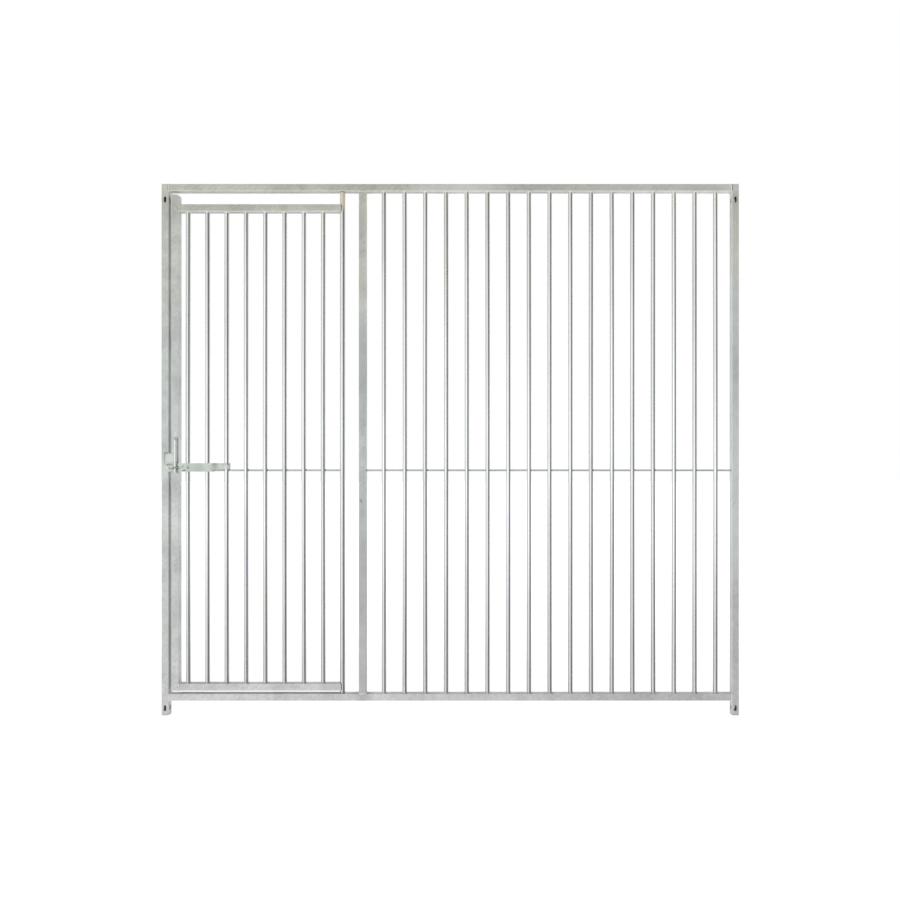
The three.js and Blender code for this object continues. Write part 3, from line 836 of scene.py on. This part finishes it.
def shade_bore(piece, node, along):
    """Gives the tube's inner walls a dark, dull coat: painted shade inside the bore."""
    piece.data.materials.append(tube_zinc)
    piece.data.materials.append(bore_shade_zinc)
    centre, axis = middle(node), "xyz".index(along)
    reach = half_tube - TUBE_WALL / 2
    for face in piece.data.polygons:
        offset = [abs(face.center[i] - centre[i]) for i in range(3) if i != axis]
        face.material_index = int(max(offset) < reach)


def square_tube(name, node, along):
    """A tube over a node's whole length."""
    low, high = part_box(node)
    centre = middle(node)
    axis = "xyz".index(along)
    centre[axis] = 0
    side = high.y - low.y
    bore = square(side - 2 * TUBE_WALL, BORE_CORNER)
    return prism(name, square(side, TUBE_CORNER), low[axis], high[axis], along, centre, bore)


def tube_piece(name, node, along, body, tools=()):
    """A tube piece with its openings cut and its rims rounded."""
    piece = soften(cut(square_tube(name, node, along), tools))
    shade_bore(piece, node, along)
    return dress(piece, None, body, "galvanised_tube", node)


def drill(radius, along, at, low, high, sides=ROUND_SIDES):
    return prism("tool", circle(radius, sides), low, high, along, at)


def post(name, node):
    """An upright with the slots that the record lists as its openings."""
    tools = []
    for opening in frame["record"]["physics"]["openings"]:
        if opening["name"].startswith(node):
            centre = (Vector(opening["box_m"][0]) + Vector(opening["box_m"][1])) / 2
            along = "y" if opening["name"].endswith("through") else "x"
            outline = slot_outline(SLOT_LENGTH, SLOT_WIDTH)
            tools.append(prism("tool", outline, -2 * half_tube, 2 * half_tube, along, centre))
    return tube_piece(name, node, "z", "frame", tools)


def punched_rail(name, node, body, bar_names, faces_up):
    """A lying tube whose upper or lower wall is punched for a row of bars."""
    centre = middle(node)
    low = centre.z if faces_up else centre.z - 2 * half_tube
    tools = []
    for bar in bar_names:
        at = middle(bar)
        at.z = 0
        radius = half_width(bar) + HOLE_CLEARANCE
        tools.append(drill(radius, "z", at, low, low + 2 * half_tube, BAR_SIDES))
    if body == "door":
        radius = half_width("door_pivot_tube") + HOLE_CLEARANCE
        ends = (centre.z - 2 * half_tube, centre.z + 2 * half_tube)
        tools.append(drill(radius, "z", door_axis, *ends))
    return tube_piece(name, node, "x", body, tools)


def lock_stile():
    """The door's upright, drilled for the latch rod, its top cut off at a slope."""
    axis = joint_at["hook_swing"]
    at = Vector((axis.x, 0, axis.z))
    bore = ROD_RADIUS + ROD_CLEARANCE
    tools = [drill(bore, "y", at, front_y - half_tube, back_y + half_tube)]
    low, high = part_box("door_lock_stile")
    clear, round_z = half_tube, high.z - HORN_SLOPE - HORN_CORNER
    outline = [
        (low.x - clear, high.z + clear), (low.x - clear, high.z),
        *arc(high.x - HORN_CORNER, round_z, HORN_CORNER, 90, 0, CORNER_STEPS),
        (high.x + clear, round_z), (high.x + clear, high.z + clear),
    ]
    tools.append(prism("tool", outline, front_y - clear, back_y + clear, "y", Vector()))
    return tube_piece("door_stile_tube", "door_lock_stile", "z", "door", tools)


# ---------------- round pieces


def bar_row_tree():
    """Geometry nodes: a row of round bars along X, each bowed its own way, whose surface
    wanders a little."""
    tree, given, out = new_group(
        "bar_row", "GeometryNodeTree",
        [("Geometry", GEOMETRY, None), ("Count", COUNT, 2), ("Foot", VECTOR, (0.0, 0.0, 0.0)),
         ("Pitch", FLOAT, 0.07), ("Length", FLOAT, 1.0), ("Radius", FLOAT, 0.008),
         ("Ring Spacing", FLOAT, RING_SPACING), ("Sides", COUNT, BAR_SIDES),
         ("Wobble", FLOAT, BAR_WOBBLE), ("Bow", FLOAT, BAR_BOW), ("Seed", COUNT, 1),
         ("Material", MATERIAL, None)],
        [("Geometry", GEOMETRY)],
    )
    step = tree.first("ShaderNodeCombineXYZ", given["Pitch"])
    feet = tree.first(
        "GeometryNodeMeshLine", mode="OFFSET", Count=given["Count"],
        Start_Location=given["Foot"], Offset=step,
    )
    top = tree.first("ShaderNodeCombineXYZ", None, None, given["Length"])
    spine = tree.first("GeometryNodeCurvePrimitiveLine", End=top)
    spine = tree.first(
        "GeometryNodeResampleCurve", Curve=spine, mode="LENGTH", Length=given["Ring Spacing"]
    )
    bar = tree.sweep(spine, given)
    row = tree.first("GeometryNodeInstanceOnPoints", Points=feet, Instance=bar)
    lean = tree.first(
        "FunctionNodeRandomValue", LEAN_LOW, LEAN_HIGH, data_type="FLOAT_VECTOR",
        Seed=given["Seed"],
    )
    leaning = tree.first(
        "GeometryNodeStoreNamedAttribute", row, data_type="FLOAT_VECTOR", domain="INSTANCE",
        Name="lean", Value=lean,
    )
    real = tree.first("GeometryNodeRealizeInstances", leaning)
    place = tree.first("GeometryNodeInputPosition")
    up = tree.math("SUBTRACT", tree.height_of(place), tree.height_of(given["Foot"]))
    share = tree.math("DIVIDE", up, given["Length"])
    belly = tree.math("SINE", tree.math("MULTIPLY", share, math.pi))
    lean = tree.first("GeometryNodeInputNamedAttribute", data_type="FLOAT_VECTOR", Name="lean")
    bow = tree.scaled(lean, tree.math("MULTIPLY", belly, given["Bow"]))
    bowed = tree.first("GeometryNodeSetPosition", Geometry=real, Offset=bow)
    swell = tree.math("SUBTRACT", tree.noise(place, SWELL_SCALE, 2.0), 0.5)
    swell = tree.math("MULTIPLY", swell, given["Wobble"])
    push = tree.scaled(tree.first("GeometryNodeInputNormal"), swell)
    moved = tree.first("GeometryNodeSetPosition", Geometry=bowed, Offset=push)
    return tree.hand_out(moved, given, out)


def grow(piece, tree, **values):
    """Runs a geometry tree on a piece and keeps the plain mesh."""
    made = piece.modifiers.new("grow", "NODES")
    made.node_group = tree
    for socket in tree.interface.items_tree:
        name = socket.name.replace(" ", "_")
        if socket.in_out == "INPUT" and name in values:
            made[socket.identifier] = values[name]
    return settle(piece)


BAR_ROW = bar_row_tree()


def bar_row(name, body, bar_names):
    first, last = middle(bar_names[0]), middle(bar_names[-1])
    low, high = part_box(bar_names[0])
    piece = grow(
        link(name, bpy.data.meshes.new(name)), BAR_ROW, Count=len(bar_names),
        Foot=(first.x, first.y, low.z), Pitch=(last.x - first.x) / (len(bar_names) - 1),
        Length=high.z - low.z, Radius=(high.x - low.x) / 2, Wobble=BAR_WOBBLE,
        Bow=BAR_BOW, Seed=len(bar_names), Material=bar_zinc,
    )
    return dress(piece, bar_zinc, body, "galvanised_bar", *bar_names)


def round_rod(name, node, body):
    low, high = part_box(node)
    at = middle(node)
    at.x = 0
    piece = prism(name, circle(half_width(node, 1), TIE_ROD_SIDES), low.x, high.x, "x", at)
    return dress(soften(piece, SMALL_RIM), tie_rod_zinc, body, "galvanised_bar", node)


def pivot_tube():
    low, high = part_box("door_pivot_tube")
    radius = half_width("door_pivot_tube")
    piece = prism(
        "door_pivot_sleeve", circle(radius), low.z, high.z, "z", door_axis,
        circle(radius - PIVOT_WALL),
    )
    return dress(soften(piece), pivot_zinc, "door", "galvanised_bar", "door_pivot_tube")


def turned(name, profile, at, sides=ROUND_SIDES):
    """A turned piece from radius and height pairs that start and end on the axis."""
    shape = bmesh.new()
    rings = []
    for radius, z in profile:
        ring = circle(radius, sides) if radius else [(0, 0)]
        rings.append([shape.verts.new(at + Vector((x, y, z))) for x, y in ring])
    for first, second in zip(rings, rings[1:]):
        for i in range(sides):
            j = (i + 1) % sides
            corners = [first[i % len(first)], first[j % len(first)]]
            corners += [second[j % len(second)], second[i % len(second)]]
            shape.faces.new(dict.fromkeys(corners))
    bmesh.ops.recalc_face_normals(shape, faces=shape.faces)
    return into_piece(name, shape)


def pivot_pins():
    """A plain pin at the top, and one with a collar that carries the door at the bottom."""
    low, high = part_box("pivot_pin_top")
    pin = half_width("pivot_pin_top")
    profile = [(0, low.z), (pin, low.z), (pin, high.z), (0, high.z)]
    piece = turned("upper_pivot_pin", profile, door_axis)
    dress(soften(piece), fitting_zinc, "frame", "galvanised_fitting", "pivot_pin_top")
    low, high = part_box("pivot_pin_bottom")
    collar = half_width("pivot_pin_bottom")
    collar_low = side_of("bottom_rail", 2, True) + HOLE_CLEARANCE
    collar_high = side_of("door_pivot_tube", 2, False) - HOLE_CLEARANCE
    profile = [
        (0, low.z), (pin, low.z), (pin, collar_low), (collar, collar_low),
        (collar, collar_high), (pin, collar_high), (pin, high.z), (0, high.z),
    ]
    piece = turned("lower_pivot_pin", profile, door_axis)
    dress(soften(piece), fitting_zinc, "frame", "galvanised_fitting", "pivot_pin_bottom")


# ---------------- latch


def keeper_plate():
    low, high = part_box("keeper_plate")
    outline = rounded_rectangle(low.x, high.x, low.z, high.z, KEEPER_CORNER)
    piece = prism("latch_keeper", outline, low.y, high.y, "y", Vector())
    piece = soften(piece, FITTING_ROUND, FITTING_SEGMENTS)
    return dress(piece, fitting_zinc, "frame", "galvanised_fitting", "keeper_plate")


def strip_outline(points, thickness):
    """A strip of even thickness along a line of points, as one closed outline."""
    sides = ([], [])
    for i, (x, y) in enumerate(points):
        before, after = points[max(i - 1, 0)], points[min(i + 1, len(points) - 1)]
        along = (Vector(after) - Vector(before)).normalized()
        for side, half in zip(sides, (-thickness / 2, thickness / 2)):
            side.append((x - along.y * half, y + along.x * half))
    return sides[0] + sides[1][::-1]


def hasp_strap():
    low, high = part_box("hasp_strap")
    eye = joint_at["hasp_swing"]
    eye_line = high.y - eye.y - STRAP_THICKNESS / 2
    face_line = eye.y - low.y - STRAP_THICKNESS / 2
    joggle_start = -JOGGLE_TO_EYE - JOGGLE_LENGTH
    line = [(low.x - eye.x, -face_line)]
    for i in range(JOGGLE_STEPS + 1):
        share = (1 - math.cos(math.pi * i / JOGGLE_STEPS)) / 2
        y = -face_line + (face_line - eye_line) * share
        line.append((joggle_start + JOGGLE_LENGTH * i / JOGGLE_STEPS, y))
    line += arc(0, 0, eye_line, -90, EYE_WRAP - 90, EYE_STEPS)
    axis = Vector((eye.x, eye.y, 0))
    piece = prism("latch_strap", strip_outline(line, STRAP_THICKNESS), low.z, high.z, "z", axis)
    tip, radius = low.x, STRAP_TIP_RADIUS
    neck = eye.x - JOGGLE_TO_EYE
    outline = [
        *arc(tip + radius, high.z - radius, radius, 90, 180, TIP_STEPS),
        *arc(tip + radius, low.z + radius, radius, 180, 270, TIP_STEPS),
        (neck - NECK_LENGTH, low.z), (neck, low.z + NECK_RISE),
        (high.x + HOLE_CLEARANCE, low.z + NECK_RISE), (high.x + HOLE_CLEARANCE, high.z),
    ]
    reach = 4 * half_tube
    trim = prism("tool", outline, mid_y - reach, mid_y + reach, "y", Vector())
    combine(piece, trim, "INTERSECT")
    line_z = low.z + STRAP_LINE
    slot_at = Vector((joint_at["hook_swing"].x, mid_y, line_z))
    hole_at = slot_at + Vector((PADLOCK_HOLE_OFFSET, 0, 0))
    sideways = [(v, u) for u, v in slot_outline(*STRAP_SLOT)]
    tools = [
        prism("tool", sideways, -reach, reach, "y", slot_at),
        drill(PADLOCK_HOLE / 2, "y", hole_at, -reach, reach, PADLOCK_HOLE_SIDES),
    ]
    piece = soften(cut(piece, tools), FITTING_ROUND, FITTING_SEGMENTS)
    return dress(piece, fitting_zinc, "hasp", "galvanised_fitting", "hasp_strap")


def keeper_lug():
    low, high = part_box("keeper_lug")
    rod = joint_at["hook_swing"]
    rod_y = side_of("hook_rod", 1, False) + ROD_RADIUS
    notch = ROD_RADIUS + ROD_CLEARANCE
    corner = LUG_CORNER
    outline = [
        (low.x, high.y), (low.x, rod_y + notch),
        *arc(rod.x, rod_y, notch, 90, -90, ARC_STEPS),
        (low.x, rod_y - notch),
        *arc(low.x + corner, low.y + corner, corner, 180, 270, LUG_STEPS),
        *arc(high.x - corner, low.y + corner, corner, 270, 360, LUG_STEPS),
        (high.x, high.y),
    ]
    piece = soften(prism("latch_lug", outline, low.z, high.z, "z", Vector()), LUG_RIM)
    return dress(piece, fitting_zinc, "door", "galvanised_fitting", "keeper_lug")


def swept_rod_tree():
    """Geometry nodes: a round rod along a line of points."""
    tree, given, out = new_group(
        "swept_rod", "GeometryNodeTree",
        [("Geometry", GEOMETRY, None), ("Radius", FLOAT, ROD_RADIUS), ("Sides", COUNT, 24),
         ("Material", MATERIAL, None)],
        [("Geometry", GEOMETRY)],
    )
    line = tree.first("GeometryNodeMeshToCurve", given["Geometry"])
    real = tree.first("GeometryNodeRealizeInstances", tree.sweep(line, given))
    return tree.hand_out(real, given, out)


def line_mesh(name, lines):
    """Edges along each line of points. A closed line repeats its first point at the end."""
    points, edges = [], []
    for line in lines:
        closed = len(line) > 2 and (Vector(line[0]) - Vector(line[-1])).length < 1e-7
        kept = line[:-1] if closed else line
        start = len(points)
        points += kept
        edges += [(start + i, start + i + 1) for i in range(len(kept) - 1)]
        if closed:
            edges.append((start + len(kept) - 1, start))
    mesh = bpy.data.meshes.new(name)
    mesh.from_pydata(points, edges, [])
    return link(name, mesh)


def hook_rod():
    """Out of the stile, round a bend and down, with a round head at its back end."""
    low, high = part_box("hook_rod")
    pivot = joint_at["hook_swing"]
    hang_y = low.y + ROD_RADIUS
    x = pivot.x
    line = [(x, high.y, pivot.z), (x, hang_y + HOOK_BEND + HOOK_LEAD, pivot.z)]
    bend = arc(hang_y + HOOK_BEND, pivot.z - HOOK_BEND, HOOK_BEND, 90, 180, ARC_STEPS)
    line += [(x, y, z) for y, z in bend]
    drop = pivot.z - HOOK_BEND - low.z
    line += [(x, hang_y, low.z + drop * (1 - i / HOOK_STEPS)) for i in range(1, HOOK_STEPS + 1)]
    piece = grow(
        line_mesh("latch_rod", [line]), swept_rod_tree(), Radius=ROD_RADIUS, Material=rod_zinc
    )
    head = drill(HOOK_HEAD / 2, "y", Vector((x, 0, pivot.z)), high.y - HOOK_HEAD_THICKNESS, high.y)
    combine(piece, head, "UNION")
    piece = soften(piece, HOOK_ROUND, FITTING_SEGMENTS, HOOK_SHARP_FROM)
    return dress(piece, rod_zinc, "hook", "galvanised_fitting", "hook_rod")


# ---------------- weld beads and painted shade lines


def weld_bead_tree():
    """Geometry nodes: beads along lines, rippled like a run of weld and lumpy with zinc."""
    tree, given, out = new_group(
        "weld_bead", "GeometryNodeTree",
        [("Geometry", GEOMETRY, None), ("Radius", FLOAT, 0.002), ("Step", FLOAT, BEAD_STEP),
         ("Ripple", FLOAT, 0.0022), ("Depth", FLOAT, 0.16), ("Lumps", FLOAT, 0.35),
         ("Taper", FLOAT, BEAD_TAPER), ("Sides", COUNT, 8), ("Material", MATERIAL, None)],
        [("Geometry", GEOMETRY)],
    )
    line = tree.first("GeometryNodeMeshToCurve", given["Geometry"])
    line = tree.first(
        "GeometryNodeResampleCurve", Curve=line, mode="LENGTH", Length=given["Step"]
    )
    along = tree.add("GeometryNodeSplineParameter").outputs
    turn = tree.math("DIVIDE", along["Length"], given["Ripple"])
    turn = tree.math("MULTIPLY", turn, 2 * math.pi)
    ripple = tree.math("MULTIPLY", tree.math("SINE", turn), given["Depth"])
    place = tree.first("GeometryNodeInputPosition")
    lump = tree.math("SUBTRACT", tree.noise(place, LUMP_SCALE, 2.0), 0.5)
    lump = tree.math("MULTIPLY", lump, given["Lumps"])
    swell = tree.math("ADD", tree.math("ADD", 1.0, ripple), tree.math("MULTIPLY", lump, 2.0))
    to_end = tree.math("MINIMUM", along["Factor"], tree.math("SUBTRACT", 1.0, along["Factor"]))
    swell = tree.math("MULTIPLY", swell, tree.remap(to_end, -0.01, given["Taper"]))
    sized = tree.first("GeometryNodeSetCurveRadius", Curve=line, Radius=swell)
    real = tree.first("GeometryNodeRealizeInstances", tree.sweep(sized, given))
    return tree.hand_out(real, given, out)


WELD_BEAD = weld_bead_tree()


def end_seams(x, rail, inward):
    """Front and back seams of a lying tube's end at x."""
    x += inward * SEAM_SHIFT
    low, high = side_of(rail, 2, False), side_of(rail, 2, True)
    return [[(x, y, low), (x, y, high)] for y in seam_faces]


def level_corner(x, z):
    """A corner bead from front to back where a lying tube meets an upright one."""
    return [(x, front_y + TUBE_CORNER, z), (x, back_y - TUBE_CORNER, z)]


def bar_ring(bar, z, chance):
    """A bead round a bar where it enters its rail, with a gap somewhere."""
    at = middle(bar)
    radius = half_width(bar) + HOLE_CLEARANCE
    start = chance.uniform(0, 360)
    return [(x, y, z) for x, y in arc(at.x, at.y, radius, start, start + RING_SPAN, RING_STEPS)]


def foot_shadow(bar, z):
    """A dark line outside a bar's bead, at its front right."""
    at = middle(bar)
    radius = half_width(bar) + HOLE_CLEARANCE + RING_BEAD
    z -= SHADE_LINE_SUNK / 2
    return [(x, y, z) for x, y in arc(at.x, at.y, radius, *FOOT_SHADOW_SPAN, ARC_STEPS)]


def undercut_shade_lines(x, rail, inward):
    """Painted shade lines beside a seam's front and back beads, on the upright tube, where the beads bit into it.
    """
    x -= inward * UNDERCUT_SHADE_SHIFT
    inset = UNDERCUT_SHADE_INSET[rail]
    low, high = side_of(rail, 2, False) + inset, side_of(rail, 2, True) - inset
    return [[(x, y, low), (x, y, high)] for y in (front_y + SHADE_LINE_SUNK, back_y - SHADE_LINE_SUNK)]


def rod_tack(bar, rod):
    """A short bead over the tie rod at a bar's right side."""
    x = middle(bar).x + half_width(bar) - TACK_SUNK
    at = middle(rod)
    radius = half_width(rod, 2) + TACK_LIFT
    return [(x, y, z) for y, z in arc(at.y, at.z, radius, *TACK_SPAN, TACK_STEPS)]


def beads(name, body, sets):
    """One piece with beads of several sizes: a material, a radius and a list of lines each."""
    materials = [weld_zinc, shade_line_zinc]
    made = []
    for material, radius, lines in sets:
        taper = LINE_TAPER if material is shade_line_zinc else BEAD_TAPER
        bead = grow(
            line_mesh("bead", lines), WELD_BEAD, Radius=radius, Taper=taper, Material=material
        )
        faces = bead.data.polygons
        faces.foreach_set("material_index", [materials.index(material)] * len(faces))
        made.append(bead)
    piece = joined(made)
    piece.name = name
    piece.data.name = name
    for material in materials:
        piece.data.materials.append(material)
    return dress(piece, None, body, "galvanised_fitting")


def frame_welds():
    chance = random.Random(FRAME_SEED)
    seams, ground, corners, rings, dark = [], [], [], [], []
    for rail in ("bottom_rail", "top_rail"):
        low, high = side_of(rail, 2, False), side_of(rail, 2, True)
        for end, inward in ((side_of(rail, 0, False), 1), (side_of(rail, 0, True), -1)):
            corners.append(level_corner(end, low))
            if rail == "bottom_rail":
                ground += end_seams(end, rail, inward)
                corners.append(level_corner(end, high))
            else:
                seams += end_seams(end, rail, inward)
                dark += undercut_shade_lines(end, rail, inward)
    rail_top, rail_under = side_of("bottom_rail", 2, True), side_of("top_rail", 2, False)
    left, right = side_of("mullion", 0, False), side_of("mullion", 0, True)
    for z in (rail_top, rail_under):
        ground += [[(left + SEAM_CLEAR, y, z), (right - SEAM_CLEAR, y, z)] for y in seam_faces]
        corners += [level_corner(left, z), level_corner(right, z)]
    # A painted shadow line round the keeper plate, on the post.
    plate_low, plate_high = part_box("keeper_plate")
    line_end = side_of("left_post", 0, True) - PLATE_LINE_END
    around = rounded_rectangle(
        plate_low.x - SHADE_LINE, plate_high.x, plate_low.z - SHADE_LINE, plate_high.z + SHADE_LINE,
        KEEPER_CORNER,
    )
    on_post = [(x, z) for x, z in around if x < line_end]
    edge = [(line_end, on_post[0][1]), *on_post, (line_end, on_post[-1][1])]
    dark.append([(x, front_y, z) for x, z in edge])
    for bar in bay_bar_names:
        rings += [bar_ring(bar, rail_top, chance), bar_ring(bar, rail_under, chance)]
        dark.append(foot_shadow(bar, rail_top))
    # The tacks take the dark zinc of the painted shade lines.
    tacks = [rod_tack(bar, "fixed_tie_rod") for bar in bay_bar_names]
    return beads("frame_welds", "frame", [
        (weld_zinc, SEAM_BEAD, seams), (weld_zinc, GROUND_BEAD, ground),
        (weld_zinc, CORNER_BEAD, corners), (weld_zinc, RING_BEAD, rings),
        (shade_line_zinc, TACK_BEAD, tacks), (shade_line_zinc, SHADE_LINE, dark),
    ])


def door_welds():
    chance = random.Random(DOOR_SEED)
    seams, corners, rings, dark = [], [], [], []
    stile = side_of("door_lock_stile", 0, True)
    for rail, faces_up in (("door_bottom_rail", True), ("door_top_rail", False)):
        low, high = side_of(rail, 2, False), side_of(rail, 2, True)
        seams += end_seams(stile, rail, 1)
        dark += undercut_shade_lines(stile, rail, 1)
        corners += [level_corner(stile, low), level_corner(stile, high)]
        rings += [bar_ring(bar, high if faces_up else low, chance) for bar in door_bar_names]
    rail_top = side_of("door_bottom_rail", 2, True)
    dark += [foot_shadow(bar, rail_top) for bar in door_bar_names]
    # The tacks take the dark zinc of the painted shade lines.
    tacks = [rod_tack(bar, "door_tie_rod") for bar in door_bar_names]
    return beads("door_welds", "door", [
        (weld_zinc, SEAM_BEAD, seams), (weld_zinc, CORNER_BEAD, corners),
        (weld_zinc, RING_BEAD, rings), (shade_line_zinc, TACK_BEAD, tacks),
        (shade_line_zinc, SHADE_LINE, dark),
    ])


# ---------------- camera, floor and light


def camera():
    made = bpy.data.cameras.new("camera")
    made.sensor_width = SENSOR
    made.lens = SENSOR * VIEW_DISTANCE / VIEW_WIDTH
    made.shift_x = (PICTURE_X - VIEW_X) / VIEW_WIDTH
    made.shift_y = (PICTURE_Z - VIEW_Z) / VIEW_WIDTH
    placed = link("camera", made)
    placed.location = (VIEW_X, front_y - VIEW_DISTANCE, VIEW_Z)
    placed.rotation_euler = (math.radians(90), 0, 0)
    bpy.context.scene.camera = placed


def floor():
    """White all over, and a little less of its own light close to the panel, so that a faint
    shadow lies at the feet."""
    mesh = bpy.data.meshes.new("floor")
    reach = FLOOR_REACH
    corners = [(-reach, -reach, 0), (reach, -reach, 0), (reach, reach, 0), (-reach, reach, 0)]
    mesh.from_pydata(corners, [], [(0, 1, 2, 3)])
    piece = link("floor", mesh)
    material = bpy.data.materials.new("white_floor")
    material.use_nodes = True
    tree = Tree(material.node_tree)
    shader = material.node_tree.nodes["Principled BSDF"]
    shader.inputs["Roughness"].default_value = 0.9
    shader.inputs["Emission Strength"].default_value = 1.0
    shader.inputs["Base Color"].default_value = (*FLOOR_GREY, 1.0)
    stretched = tree.vector("MULTIPLY", tree.place(), GLOW_STRETCH)
    far = tree.remap(tree.vector("LENGTH", stretched), GLOW_NEAR, GLOW_FAR)
    glow = tree.blend(far, (*NEAR_GLOW, 1.0), (*FAR_GLOW, 1.0))
    tree.put(shader.inputs["Emission Color"], glow)
    mesh.materials.append(material)
    piece.visible_glossy = False


def studio():
    """A light room: brightest at the front left, dark at the right, lavender behind and dim
    overhead."""
    world = bpy.data.worlds.new("studio")
    bpy.context.scene.world = world
    world.use_nodes = True
    tree = Tree(world.node_tree)
    way = tree.add("ShaderNodeTexCoord").outputs["Generated"]
    parts = tree.add("ShaderNodeSeparateXYZ", way).outputs
    round_about = tree.math("ARCTAN2", parts[0], tree.math("MULTIPLY", parts[1], -1.0))
    share = tree.remap(round_about, -math.pi, math.pi, smooth=False)
    band = tree.ramp(share, [((degrees + 180) / 360, tone) for degrees, tone in ROOM], "EASE")
    height = tree.math("ARCSINE", parts[2])
    over = tree.remap(height, LEVEL, OFF_LEVEL, *UP_TONES)
    under = tree.remap(height, -LEVEL, -OFF_LEVEL, *DOWN_TONES)
    off_level = tree.math("MULTIPLY", over, under)
    level = tree.add("ShaderNodeCombineColor", off_level, off_level, off_level).outputs[0]
    band = tree.blend(1.0, band, level, "MULTIPLY")
    start = tree.remap(parts[1], 0.0, 0.8, *map(math.radians, CEILING_FROM))
    above = tree.remap(height, start, tree.math("ADD", start, math.radians(CEILING_BLEND)))
    colour = tree.blend(above, band, (*CEILING, 1.0))
    below = tree.remap(height, math.radians(GROUND_FROM), math.radians(GROUND_FULL))
    colour = tree.blend(below, colour, (*GROUND, 1.0))
    seen = tree.add("ShaderNodeLightPath").outputs["Is Camera Ray"]
    colour = tree.blend(seen, colour, (1.0, 1.0, 1.0, 1.0))
    tree.put(world.node_tree.nodes["Background"].inputs[0], colour)


def lamp(name, at, aim, size, power, colour):
    made = bpy.data.lights.new(name, "AREA")
    made.shape = "RECTANGLE"
    made.size, made.size_y = size
    made.energy = power
    made.color = colour
    placed = link(name, made)
    placed.location = at
    placed.rotation_mode = "QUATERNION"
    placed.rotation_quaternion = (Vector(aim) - Vector(at)).to_track_quat("-Z", "Y")
    placed.visible_camera = False
    placed.visible_glossy = False


def lights():
    lamp(
        "front_softbox", at=(-1.6, -4.0, 2.3), aim=(0, 0, 0.9), size=(2.2, 1.6), power=14,
        colour=(1.0, 1.0, 0.97),
    )
    lamp(
        "overhead_softbox", at=(0.3, -0.8, 4.2), aim=(0, 0, 0), size=(4.0, 3.0), power=14,
        colour=(0.96, 0.98, 1.0),
    )


# ---------------- assembly

camera()
studio()
lights()
floor()

post("left_post_tube", "left_post")
post("right_post_tube", "right_post")
tube_piece("mullion_tube", "mullion", "z", "frame")
punched_rail("bottom_rail_tube", "bottom_rail", "frame", bay_bar_names, True)
punched_rail("top_rail_tube", "top_rail", "frame", bay_bar_names, False)
bar_row("bay_bars", "frame", bay_bar_names)
round_rod("bay_tie_rod", "fixed_tie_rod", "frame")
pivot_pins()
keeper_plate()
frame_welds()

lock_stile()
punched_rail("door_bottom_rail_tube", "door_bottom_rail", "door", door_bar_names, True)
punched_rail("door_top_rail_tube", "door_top_rail", "door", door_bar_names, False)
bar_row("door_bars", "door", door_bar_names)
round_rod("door_cross_rod", "door_tie_rod", "door")
pivot_tube()
keeper_lug()
door_welds()
hasp_strap()
hook_rod()

bpy.context.scene.view_settings.view_transform = "Standard"
